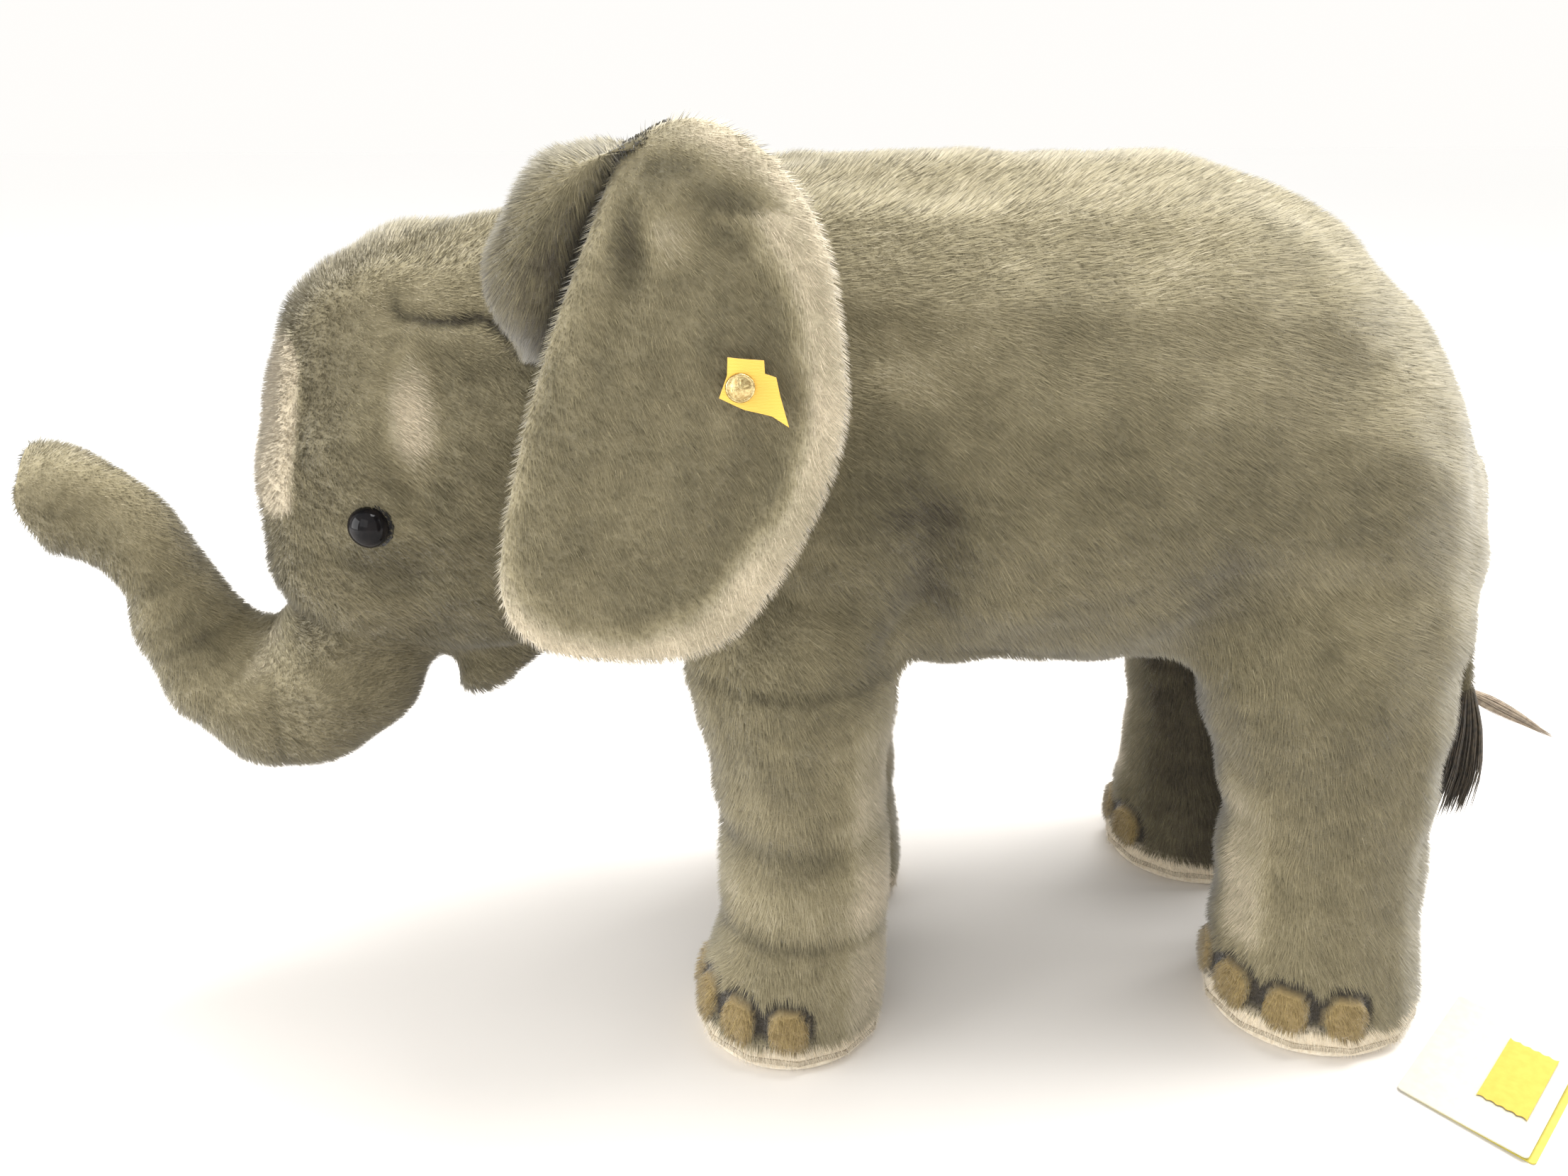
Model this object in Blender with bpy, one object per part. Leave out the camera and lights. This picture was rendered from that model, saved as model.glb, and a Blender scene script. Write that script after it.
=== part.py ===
"""A standing plush elephant, sewn from short-pile fabric over stuffing and a steel wire frame.

Metres, +Z up. The head points along -X, the tail along +X, and the toy's left side faces -Y.
Every outline below is in the toy's own frame, whose XZ plane is the toy's middle plane.
CENTRE then moves it so that the origin is under the middle of the whole footprint,
with the hang tag that lies beside the left hind foot.
"""

import math

import bpy
from mathutils import Matrix, Vector

# ---- driving dimensions -------------------------------------------------------------------
CENTRE = Vector((-0.011, 0.014, 0.0))
GAP = 0.0003  # between neighbours that touch
SKIN = 0.003  # backing cloth with its pile
FILL_IN = SKIN + 0.0007  # the stuffing, measured in from the pile
SOLE_T = 0.004
BOARD_T = 0.002
WIRE_R = 0.0015
CHANNEL_R = 0.0019  # tunnel in the stuffing round a wire
NECK_X = -0.082  # the seam between head and body
SPINE_Z = 0.216
SIDES = {"left": -1.0, "right": 1.0}

BODY_RING, LEG_RING, TRUNK_RING, WIRE_RING = 16, 12, 12, 6

# x, top z, bottom z, half width
BODY = [
    (NECK_X + GAP / 2, 0.2925, 0.149, 0.061),
    (-0.050, 0.298, 0.138, 0.070),
    (-0.020, 0.301, 0.132, 0.079),
    (0.025, 0.302, 0.127, 0.084),
    (0.075, 0.302, 0.124, 0.086),
    (0.105, 0.301, 0.124, 0.085),
    (0.133, 0.293, 0.125, 0.082),
    (0.158, 0.281, 0.122, 0.078),
    (0.184, 0.258, 0.118, 0.068),
    (0.203, 0.230, 0.116, 0.056),
    (0.217, 0.206, 0.118, 0.041),
    (0.225, 0.180, 0.135, 0.020),
]
HEAD = [
    (-0.195, 0.208, 0.176, 0.016),
    (-0.189, 0.231, 0.158, 0.034),
    (-0.178, 0.258, 0.145, 0.045),
    (-0.165, 0.272, 0.137, 0.051),
    (-0.143, 0.282, 0.133, 0.056),
    (-0.114, 0.285, 0.134, 0.060),
    (-0.095, 0.289, 0.140, 0.061),
    (NECK_X - GAP / 2, 0.2925, 0.149, 0.061),
]
LIP = [
    (-0.139, 0.139, 0.120, 0.009),
    (-0.134, 0.142, 0.115, 0.014),
    (-0.123, 0.145, 0.117, 0.017),
    (-0.110, 0.147, 0.125, 0.017),
    (-0.099, 0.149, 0.134, 0.012),
]
# z, x, y, radius along x, radius along y; left legs
FRONT_LEG = [
    (0.0, -0.0225, -0.043, 0.0375, 0.0370),
    (0.014, -0.0220, -0.043, 0.0375, 0.0370),
    (0.027, -0.0205, -0.043, 0.0360, 0.0360),
    (0.040, -0.0180, -0.043, 0.0330, 0.0340),
    (0.066, -0.0165, -0.043, 0.0320, 0.0330),
    (0.106, -0.0190, -0.043, 0.0322, 0.0340),
    (0.122, -0.0200, -0.043, 0.0350, 0.0360),
    (0.142, -0.0220, -0.044, 0.0390, 0.0370),
    (0.168, -0.0200, -0.040, 0.0420, 0.0330),
    (0.198, -0.0180, -0.030, 0.0340, 0.0250),
]
HIND_LEG = [
    (0.0, 0.1705, -0.052, 0.0420, 0.0385),
    (0.014, 0.1700, -0.052, 0.0420, 0.0385),
    (0.027, 0.1690, -0.051, 0.0405, 0.0375),
    (0.045, 0.1690, -0.049, 0.0385, 0.0360),
    (0.080, 0.1670, -0.048, 0.0380, 0.0360),
    (0.103, 0.1640, -0.048, 0.0405, 0.0375),
    (0.120, 0.1600, -0.049, 0.0445, 0.0380),
    (0.138, 0.1570, -0.049, 0.0490, 0.0380),
    (0.165, 0.1580, -0.044, 0.0500, 0.0330),
    (0.198, 0.1600, -0.032, 0.0400, 0.0260),
]
# the right legs stand a little further back or forward at the foot
FOOT_SHIFT = {
    "front_left": 0.0,
    "front_right": 0.022,
    "hind_left": 0.0,
    "hind_right": -0.003,
}
LEG_TOP = 0.198

# the trunk's rings: x, z on its inner side, x, z on its outer side, half width across
TRUNK = [
    (-0.168, 0.190, -0.136, 0.160, 0.0280),
    (-0.184, 0.168, -0.142, 0.134, 0.0330),
    (-0.194, 0.155, -0.156, 0.108, 0.0335),
    (-0.199, 0.149, -0.183, 0.089, 0.0310),
    (-0.2015, 0.1475, -0.212, 0.093, 0.0275),
    (-0.204, 0.149, -0.234, 0.113, 0.0245),
    (-0.2085, 0.156, -0.243, 0.137, 0.0215),
    (-0.2150, 0.170, -0.249, 0.160, 0.0200),
    (-0.2250, 0.190, -0.2575, 0.171, 0.0190),
    (-0.2400, 0.204, -0.266, 0.178, 0.0178),
    (-0.2655, 0.2115, -0.2695, 0.183, 0.0160),
]
TRUNK_BEND = (-0.2135, 0.1250)  # x, z of the first bend
TRUNK_BEND_SLOPE = math.radians(24.5)  # the trunk's rise there, from -X
TIP_BEND = (-0.2320, 0.1650)
TIP_BEND_SLOPE = math.radians(73.6)
TRUNK_SWING = math.radians(16)  # each way at each bend, with a little spare

# x, z, radius
TAIL = [
    (0.2300, 0.190, 0.0034),
    (0.2335, 0.172, 0.0040),
    (0.2365, 0.150, 0.0037),
    (0.2395, 0.128, 0.0034),
    (0.2450, 0.100, 0.0032),
]
TAIL_BEND = (0.2388, 0.134)
TAIL_SWING = math.radians(38)
TUFT = [
    (0.2455, 0.0990, 0.0036),
    (0.2470, 0.0880, 0.0064),
    (0.2490, 0.0700, 0.0080),
    (0.2500, 0.0540, 0.0070),
    (0.2500, 0.0420, 0.0025),
]
LOCK = [(0.2525, 0.0960, 0.0018), (0.2700, 0.0860, 0.0022), (0.2880, 0.0760, 0.0008)]

# the ear flap's edge, x and z, from the top of the crease forwards, down and round
EAR_EDGE = [
    (-0.068, 0.308),
    (-0.075, 0.292),
    (-0.086, 0.269),
    (-0.095, 0.246),
    (-0.102, 0.220),
    (-0.107, 0.192),
    (-0.103, 0.179),
    (-0.093, 0.172),
    (-0.073, 0.170),
    (-0.053, 0.172),
    (-0.040, 0.180),
    (-0.027, 0.198),
    (-0.016, 0.221),
    (-0.0115, 0.242),
    (-0.0135, 0.263),
    (-0.022, 0.285),
    (-0.035, 0.300),
    (-0.052, 0.310),
]
EAR_MID = (-0.060, 0.240)
EAR_Y = 0.0985  # the ear's middle layer, from the middle plane
EAR_FULL = 0.0068  # half the ear's thickness at its middle
EAR_RINGS = (1.0, 0.93, 0.78, 0.52, 0.24)
EAR_HINGE = Vector((-0.0825, 0.0, 0.2755))
EAR_HINGE_DIR = Vector((-0.410, 0.0, -0.912))
# z, x, distance from the middle plane, radius along x, radius along y
EAR_ROOT = [
    (0.252, -0.0985, 0.078, 0.0035, 0.012),
    (0.262, -0.1010, 0.081, 0.0075, 0.019),
    (0.276, -0.0975, 0.081, 0.0105, 0.021),
    (0.290, -0.0900, 0.077, 0.0115, 0.020),
    (0.302, -0.0820, 0.073, 0.0100, 0.018),
    (0.310, -0.0765, 0.071, 0.0050, 0.012),
]

EYE = Vector((-0.1500, 0.0545, 0.1960))  # y is the distance from the middle plane
EYE_OUT = Vector((-0.36, 0.93, -0.05))
EYE_R = 0.0068
BUTTON_AT = (-0.041, 0.249)
BUTTON_R = 0.0046
LABEL_CORNERS = [(-0.0450, 0.2565), (-0.0310, 0.2555), (-0.0285, 0.2385), (-0.0465, 0.2445)]

TAG_CORNER = Vector((0.1800, -0.0998, 0.0))
TAG_LONG = Vector((0.755, 0.656, 0.0))
TAG_SHORT = Vector((0.577, -0.817, 0.0))
TAG_SIZE = (0.062, 0.042)
LEAF_SHIFT = (0.001, 0.0022)
PAPER_T = 0.0006


# ---- materials ----------------------------------------------------------------------------
def material(name, colour, roughness, metallic=0.0):
    m = bpy.data.materials.new(name)
    m.use_nodes = True
    shader = m.node_tree.nodes["Principled BSDF"]
    shader.inputs["Base Color"].default_value = (*colour, 1.0)
    shader.inputs["Roughness"].default_value = roughness
    shader.inputs["Metallic"].default_value = metallic
    return m


# ---- mesh helpers -------------------------------------------------------------------------
def new_object(name, points, faces, mat, smooth=True):
    """A mesh object from points in the toy's own frame."""
    mesh = bpy.data.meshes.new(name)
    mesh.from_pydata([Vector(p) + CENTRE for p in points], [], faces)
    mesh.update()
    if smooth:
        mesh.shade_smooth()
        mesh.set_sharp_from_angle(angle=math.radians(50))
    obj = bpy.data.objects.new(name, mesh)
    bpy.context.collection.objects.link(obj)
    if mat:
        mesh.materials.append(mat)
    else:
        obj.hide_render = True
        obj.display_type = "WIRE"
    return obj


def loft(name, rings, mat, smooth=True):
    """Closed skin over rings of equal length, with a flat cap at each end."""
    n = len(rings[0])
    points = [p for ring in rings for p in ring]
    faces = []
    for k in range(len(rings) - 1):
        for i in range(n):
            a, b = k * n + i, k * n + (i + 1) % n
            faces.append((a, b, b + n, a + n))
    faces.append(tuple(reversed(range(n))))
    faces.append(tuple(range((len(rings) - 1) * n, len(rings) * n)))
    obj = new_object(name, points, faces, mat, smooth)
    face_out(obj.data)
    return obj


def face_out(mesh):
    """Turn a closed mesh inside in if its volume comes out negative."""
    mesh.calc_loop_triangles()
    volume = 0.0
    for t in mesh.loop_triangles:
        a, b, c = (mesh.vertices[i].co for i in t.vertices)
        volume += a.dot(b.cross(c))
    if volume < 0:
        mesh.flip_normals()


def line_direction(line, k):
    """Direction of a line of points in the XZ plane at point k."""
    a = Vector(line[max(k - 1, 0)][:2])
    b = Vector(line[min(k + 1, len(line) - 1)][:2])
    return (b - a).normalized()


def upright_rings(sections, inset, count=BODY_RING, past_neck=0.0):
    """Rings across x for the body, head and lip; inset shrinks them all round.

    The neck seam stays where it is, or the last section runs on past it by past_neck.
    """
    first, last = sections[0], sections[-1]
    places = [list(s) for s in sections]
    places[0][0] += 0.0 if sections is BODY else inset
    places[-1][0] -= 0.0 if sections is HEAD else inset
    if past_neck and sections is BODY:
        places.insert(0, [first[0] - past_neck, *first[1:]])
    if past_neck and sections is HEAD:
        places.append([last[0] + past_neck, *last[1:]])
    rings = []
    for x, top, bottom, half in places:
        z, tall, wide = (top + bottom) / 2, (top - bottom) / 2 - inset, half - inset
        ring = []
        for i in range(count):
            a = 2 * math.pi * (i + 0.5) / count
            ring.append(Vector((x, wide * math.cos(a), z + tall * math.sin(a))))
        rings.append(ring)
    return rings


def leg_rings(which, inset, z_from, z_to):
    """Rings across z for one leg between two heights."""
    sections = FRONT_LEG if which.startswith("front") else HIND_LEG
    side = -1.0 if which.endswith("right") else 1.0
    heights = [z_from] + [s[0] for s in sections if z_from < s[0] < z_to] + [z_to]
    rings = []
    for z in heights:
        x, y, rx, ry = section_at(sections, z)
        x += FOOT_SHIFT[which] * (1 - z / LEG_TOP)
        ring = []
        for i in range(LEG_RING):
            a = 2 * math.pi * i / LEG_RING
            ring.append(
                Vector((x + (rx - inset) * math.cos(a), side * y + (ry - inset) * math.sin(a), z))
            )
        rings.append(ring)
    return rings


def section_at(sections, z):
    """The numbers of a list of sections, read between two of them."""
    for low, high in zip(sections, sections[1:]):
        if low[0] <= z <= high[0]:
            t = (z - low[0]) / (high[0] - low[0])
            return [a + (b - a) * t for a, b in zip(low[1:], high[1:])]
    raise ValueError(z)


def tail_rings(line, count=10):
    """Round rings along a line in the middle plane: x, z, radius."""
    rings = []
    for k, (x, z, r) in enumerate(line):
        along = line_direction(line, k)
        ring = []
        for i in range(count):
            a = 2 * math.pi * i / count
            u, v = r * math.cos(a), r * math.sin(a)
            ring.append(Vector((x - along.y * u, v, z + along.x * u)))
        rings.append(ring)
    return rings


def trunk_rings(inset=0.0, end_in=0.0):
    """The trunk's oval rings, shrunk all round by inset."""
    rings = []
    for k, (xi, zi, xo, zo, across) in enumerate(TRUNK):
        inner, outer = Vector((xi, 0, zi)), Vector((xo, 0, zo))
        middle, half = (inner + outer) / 2, (inner - outer) / 2
        reach, toward = half.length, half.normalized()
        if k == len(TRUNK) - 1:
            middle -= Vector((-toward.z, 0, toward.x)) * end_in
        ring = []
        for i in range(TRUNK_RING):
            a = 2 * math.pi * i / TRUNK_RING
            side = Vector((0, (across - inset) * math.sin(a), 0))
            ring.append(middle + toward * (reach - inset) * math.cos(a) + side)
        rings.append(ring)
    return rings


def rod(name, points, radius, mat):
    """A round rod along points anywhere in space."""
    rings = []
    up = Vector((0.37, 0.21, 0.9)).normalized()
    for k, p in enumerate(points):
        before = Vector(points[max(k - 1, 0)])
        after = Vector(points[min(k + 1, len(points) - 1)])
        along = (after - before).normalized()
        side = along.cross(up).normalized()
        up = side.cross(along).normalized()
        ring = []
        for i in range(WIRE_RING):
            a = 2 * math.pi * i / WIRE_RING
            ring.append(Vector(p) + side * radius * math.cos(a) + up * radius * math.sin(a))
        rings.append(ring)
    return loft(name, rings, mat)


def turned(name, profile, at, out, mat, squeeze=1.0, count=12):
    """A profile of radius and height turned about an axis; its first and last radius are 0."""
    turn = out.normalized().to_track_quat("Z", "Y").to_matrix()
    points, faces = [at + turn @ Vector((0, 0, profile[0][1]))], []
    for r, h in profile[1:-1]:
        for i in range(count):
            a = 2 * math.pi * i / count
            points.append(at + turn @ Vector((r * math.cos(a), r * squeeze * math.sin(a), h)))
    points.append(at + turn @ Vector((0, 0, profile[-1][1])))
    rows = len(profile) - 2
    for i in range(count):
        j = (i + 1) % count
        faces.append((0, 1 + i, 1 + j))
        for k in range(rows - 1):
            a, b = 1 + k * count, 1 + (k + 1) * count
            faces.append((a + i, b + i, b + j, a + j))
        last = 1 + (rows - 1) * count
        faces.append((last + i, len(points) - 1, last + j))
    obj = new_object(name, points, faces, mat)
    face_out(obj.data)
    return obj


def prism(name, outline, low, high, axis="Y"):
    """A cutter: an outline in XZ drawn out along y, or in YZ drawn out along x."""

    def place(p, d):
        return Vector((p[0], d, p[1])) if axis == "Y" else Vector((d, p[0], p[1]))

    rings = [[place(p, low) for p in outline], [place(p, high) for p in outline]]
    return loft(name, rings, None, smooth=False)


def cut(obj, cutter, operation="DIFFERENCE"):
    m = obj.modifiers.new(cutter.name, "BOOLEAN")
    m.operation = operation
    m.object = cutter
    m.solver = "EXACT"


def hinge_empty(name, at):
    """An empty on a joint's axis, which the moving pieces hang from."""
    empty = bpy.data.objects.new(name, None)
    empty.empty_display_size = 0.02
    empty.location = Vector(at) + CENTRE
    bpy.context.collection.objects.link(empty)
    return empty


def hang_from(empty, *pieces):
    """Parent pieces to the empty, and put their origins on it."""
    for piece in pieces:
        piece.data.transform(Matrix.Translation(-empty.location))
        piece.parent = empty


# ---- the cutters that give neighbours their clearance -------------------------------------
def shared_cutters():
    grow = -GAP
    cutters = {
        "body": loft("cutter_body", upright_rings(BODY, grow), None),
        "head": loft("cutter_head", upright_rings(HEAD, grow), None),
    }
    for name, sections in (("body", BODY), ("head", HEAD)):
        rings = upright_rings(sections, SKIN, past_neck=0.004)
        cutters[name + "_hollow"] = loft(f"cutter_{name}_hollow", rings, None)
    for side, sign in SIDES.items():
        box = [(-0.3, 0.0), (0.3, 0.0), (0.3, 0.4), (-0.3, 0.4)]
        far = -sign * 0.2
        near = sign * GAP / 2
        low, high = min(far, near), max(far, near)
        cutters["half_" + side] = prism("cutter_half_" + side, box, low, high)
    return cutters


# ---- sewn body, head and stuffing ---------------------------------------------------------
def add_shells(cutters, plush, mats, legs):
    for side in SIDES:
        skin = loft(f"body_skin_{side}", upright_rings(BODY, 0.0), plush)
        cut(skin, cutters["body_hollow"])
        cut(skin, cutters["half_" + side])
        for which in ("front", "hind"):
            cut(skin, legs[f"{which}_{side}"])
        face = loft(f"head_skin_{side}", upright_rings(HEAD, 0.0), plush)
        cut(face, cutters["head_hollow"])
        cut(face, cutters["half_" + side])
        cut(face, cutters["trunk_mouth"])
        cut(face, cutters["eye_" + side])
    body = loft("body_stuffing", upright_rings(BODY, FILL_IN), mats["stuffing"])
    head = loft("head_stuffing", upright_rings(HEAD, FILL_IN), mats["stuffing"])
    for name in ("spine", "front_hoop", "hind_hoop"):
        cut(body, cutters[name])
    cut(head, cutters["spine"])
    for side in SIDES:
        cut(head, cutters["eye_" + side])


def leg_cutters():
    """What each leg's stuffing takes out of the body's skin."""
    found = {}
    for which in FOOT_SHIFT:
        rings = leg_rings(which, SKIN + 0.002, 0.09, 0.19)
        found[which] = loft("cutter_leg_" + which, rings, None)
    return found


def add_leg(which, cutters, mats):
    """Skin tube, stuffing, stiff foot board and sole of one leg."""
    floor = SOLE_T + GAP
    skin = loft(f"leg_skin_{which}", leg_rings(which, 0.0, floor, LEG_TOP), mats["plush"])
    hollow = loft(f"cutter_hollow_{which}", leg_rings(which, SKIN, 0.001, 0.1979), None)
    cut(skin, hollow)
    cut(skin, cutters["body"])
    board_top = floor + BOARD_T
    rings = leg_rings(which, FILL_IN, board_top + GAP, LEG_TOP)
    stuffing = loft(f"leg_stuffing_{which}", rings, mats["stuffing"])
    cut(stuffing, cutters["body"])
    cut(stuffing, cutters["front_hoop" if which.startswith("front") else "hind_hoop"])
    rings = leg_rings(which, FILL_IN, floor, board_top)
    loft(f"foot_board_{which}", rings, mats["board"])
    low, middle = leg_rings(which, 0.0035, 0.0, SOLE_T), leg_rings(which, -0.0008, 0.0, SOLE_T)
    bulge = [p + Vector((0, 0, SOLE_T * 0.55)) for p in middle[0]]
    top = leg_rings(which, 0.0, 0.0, SOLE_T)[1]
    loft(f"foot_sole_{which}", [low[0], bulge, top], mats["sole"])


# ---- steel wire frame ---------------------------------------------------------------------
def hoop_points(which):
    """One inverted U down both legs, just over the spine wire."""
    crown = SPINE_Z + 2 * WIRE_R + 0.0006
    half = []
    for side in ("left", "right"):
        path = []
        for z in (0.012, 0.06, 0.11, 0.155, 0.19):
            sections = FRONT_LEG if which == "front" else HIND_LEG
            x, y, _, _ = section_at(sections, z)
            x += FOOT_SHIFT[f"{which}_{side}"] * (1 - z / LEG_TOP)
            path.append(Vector((x, y * -SIDES[side], z)))
        x_top = -0.018 if which == "front" else 0.160
        path.append(Vector((x_top, SIDES[side] * 0.017, crown - 0.004)))
        half.append(path)
    middle = Vector((half[0][-1].x, 0.0, crown))
    return half[0] + [middle] + list(reversed(half[1]))


def spine_points():
    return [
        (0.190, 0.0, 0.190),
        (0.165, 0.0, SPINE_Z - 0.005),
        (0.120, 0.0, SPINE_Z),
        (-0.110, 0.0, SPINE_Z),
        (-0.135, 0.0, 0.206),
        (-0.154, 0.0, 0.178),
        (-0.167, 0.0, 0.145),
        (-0.180, 0.0, 0.124),
        (-0.194, 0.0, 0.119),
        (TRUNK_BEND[0] + 0.0038, 0.0, TRUNK_BEND[1] - 0.0018),
    ]


def extended(points, by):
    """The same run of points, longer by a little at both ends."""
    run = [Vector(p) for p in points]
    run[0] = run[0] + (run[0] - run[1]).normalized() * by
    run[-1] = run[-1] + (run[-1] - run[-2]).normalized() * by
    return run


def wire_cutters(cutters):
    cutters["spine"] = rod("cutter_spine", extended(spine_points(), 0.03), CHANNEL_R, None)
    for which in ("front", "hind"):
        run = extended(hoop_points(which), 0.02)
        cutters[which + "_hoop"] = rod(f"cutter_{which}_hoop", run, CHANNEL_R, None)


def add_wires(steel):
    rod("spine_wire", spine_points(), WIRE_R, steel)
    rod("front_leg_wire", hoop_points("front"), WIRE_R, steel)
    rod("hind_leg_wire", hoop_points("hind"), WIRE_R, steel)


# ---- trunk and lip ------------------------------------------------------------------------
def bend_gap(name, at, slope, swing, reach=0.05):
    """A bow-tie prism across a bend: it leaves each side room to turn by swing."""
    along = Vector((math.cos(math.pi - slope), math.sin(math.pi - slope)))
    across = Vector((-along.y, along.x))
    spread = math.tan(swing / 2) * reach
    outline = []
    for u, v in ((-1, 1), (0, 0), (1, 1), (1, -1), (0, 0), (-1, -1)):
        wide = GAP / 2 + (spread if u else 0.0)
        sign = 1 if v > 0 or (v == 0 and len(outline) < 3) else -1
        p = Vector(at) + across * (u * reach) + along * (sign * wide)
        outline.append((p.x, p.y))
    return prism(name, outline, -0.05, 0.05), along, across


def beyond(name, at, along, across, reach=0.045):
    """A block that starts at a bend and holds what lies just beyond it."""
    centre = Vector(at)
    corners = [
        centre + across * reach,
        centre + across * reach + along * reach,
        centre - across * reach + along * reach,
        centre - across * reach,
    ]
    return prism(name, [(c.x, c.y) for c in corners], -0.06, 0.06)


def add_trunk(cutters, mats):
    """Base, middle and tip, each a skin over stuffing, with room to turn at both bends."""
    gap_1, along_1, across_1 = bend_gap("cutter_bend", TRUNK_BEND, TRUNK_BEND_SLOPE, TRUNK_SWING)
    gap_2, along_2, across_2 = bend_gap("cutter_tip_bend", TIP_BEND, TIP_BEND_SLOPE, TRUNK_SWING)
    past_1 = beyond("cutter_past_bend", TRUNK_BEND, along_1, across_1)
    before_1 = beyond("cutter_before_bend", TRUNK_BEND, -along_1, across_1)
    past_2 = beyond("cutter_past_tip_bend", TIP_BEND, along_2, across_2)
    before_2 = beyond("cutter_before_tip_bend", TIP_BEND, -along_2, across_2)
    parts = {
        "trunk_base": (slice(0, 7), (past_1, gap_1)),
        "trunk_middle": (slice(3, 9), (before_1, gap_1, past_2, gap_2)),
        "trunk_tip": (slice(6, 11), (before_2, gap_2)),
    }
    outside = trunk_rings()
    inside = trunk_rings(FILL_IN, end_in=FILL_IN)
    hollow = loft("cutter_trunk", trunk_rings(SKIN, end_in=SKIN), None)
    made = {}
    for name, (stretch, steps) in parts.items():
        skin = loft(name + "_skin", outside[stretch], mats["plush"])
        stuffing = loft(name + "_stuffing", inside[stretch], mats["stuffing"])
        cut(skin, hollow)
        for piece in (skin, stuffing):
            for cutter in steps:
                cut(piece, cutter)
        made[name] = [skin, stuffing]
    for piece in made["trunk_base"]:
        cut(piece, cutters["head"])
    cut(made["trunk_base"][1], cutters["spine"])
    return made, (along_1, along_2)


def add_trunk_wires(made, directions, steel):
    """The wire's two outer lengths, which bend with the trunk's outer sections."""
    first = Vector(TRUNK_BEND) + directions[0] * 0.004
    before = Vector(TIP_BEND) - directions[1] * 0.004
    after = Vector(TIP_BEND) + directions[1] * 0.004
    runs = {
        "trunk_middle": [first, Vector((-0.2265, 0.1420)), before],
        "trunk_tip": [after, Vector((-0.2425, 0.1835)), Vector((-0.2560, 0.1945))],
    }
    for name, run in runs.items():
        points = [(p.x, 0.0, p.y) for p in run]
        opening = extended(points, 0.001)
        opening[0] = opening[0] + (opening[0] - opening[1]).normalized() * 0.010
        if name == "trunk_middle":
            opening[-1] = opening[-1] + (opening[-1] - opening[-2]).normalized() * 0.010
        cut(made[name][1], rod(f"cutter_{name}_channel", opening, CHANNEL_R, None))
        made[name].append(rod(name + "_wire", points, WIRE_R, steel))


# ---- eyes ---------------------------------------------------------------------------------
def eye_cutters(cutters):
    """Countersink and stem hole in the skin, and the washer's pocket in the stuffing."""
    profile = [
        (0.0, 0.02),
        (EYE_R + GAP, 0.02),
        (EYE_R + GAP, -0.0020),
        (0.0019, -0.0020),
        (0.0019, -0.0030),
        (0.0080, -0.0030),
        (0.0080, -0.0130),
        (0.0, -0.0130),
    ]
    for side, sign in SIDES.items():
        at, out = mirrored(EYE, sign), mirrored(EYE_OUT, sign)
        cutters["eye_" + side] = turned("cutter_eye_" + side, profile, at, out, None, 0.9)


def mirrored(v, sign):
    return Vector((v.x, v.y * sign, v.z))


def add_eyes(mats):
    dome = [(0.0, 0.0042), (0.0030, 0.0037), (0.0054, 0.0021), (EYE_R, -0.0004)]
    stem = [(EYE_R - 0.0006, -0.0017), (0.0015, -0.0017), (0.0015, -0.0120), (0.0, -0.0120)]
    for side, sign in SIDES.items():
        at, out = mirrored(EYE, sign), mirrored(EYE_OUT, sign)
        turned("eye_" + side, dome + stem, at, out, mats["eye"], 0.9)
        add_washer("eye_washer_" + side, at, out, -0.0042, -0.0056, 0.0072, 0.0018, mats["washer"])


def add_washer(name, at, out, top, bottom, outer, inner, mat, count=12):
    """A flat ring round a stem."""
    turn = out.normalized().to_track_quat("Z", "Y").to_matrix()
    points, faces = [], []
    for r, h in ((inner, top), (outer, top), (outer, bottom), (inner, bottom)):
        for i in range(count):
            a = 2 * math.pi * i / count
            points.append(at + turn @ Vector((r * math.cos(a), r * math.sin(a), h)))
    for k in range(4):
        for i in range(count):
            j = (i + 1) % count
            a, b = k * count, (k + 1) % 4 * count
            faces.append((a + i, b + i, b + j, a + j))
    obj = new_object(name, points, faces, mat)
    face_out(obj.data)
    return obj


# ---- ears ---------------------------------------------------------------------------------
def ear_share(x, z):
    """How far a place is from the ear's middle, as a share of the way to its edge."""
    dx, dz = x - EAR_MID[0], z - EAR_MID[1]
    reach = math.hypot(dx, dz)
    if reach < 1e-6:
        return 0.0
    best = None
    for (x1, z1), (x2, z2) in zip(EAR_EDGE, EAR_EDGE[1:] + EAR_EDGE[:1]):
        ax, az, bx, bz = x1 - EAR_MID[0], z1 - EAR_MID[1], x2 - x1, z2 - z1
        cross = dx * bz - dz * bx
        if abs(cross) < 1e-12:
            continue
        t = (ax * bz - az * bx) / cross
        s = (ax * dz - az * dx) / cross
        if t > 0 and -1e-6 <= s <= 1 + 1e-6:
            best = t if best is None else min(best, t)
    return 1.0 / best


def ear_layer(x, z):
    """Distance of the ear's middle layer from the middle plane: it bows out a little."""
    share = min(ear_share(x, z), 1.0)
    return EAR_Y + 0.0025 * (1 - share**2) - 0.05 * max(x - EAR_MID[0], 0.0)


def ear_half_thickness(share):
    return 0.0007 + EAR_FULL * max(1 - share**2.6, 0.0) ** 0.6


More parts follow.
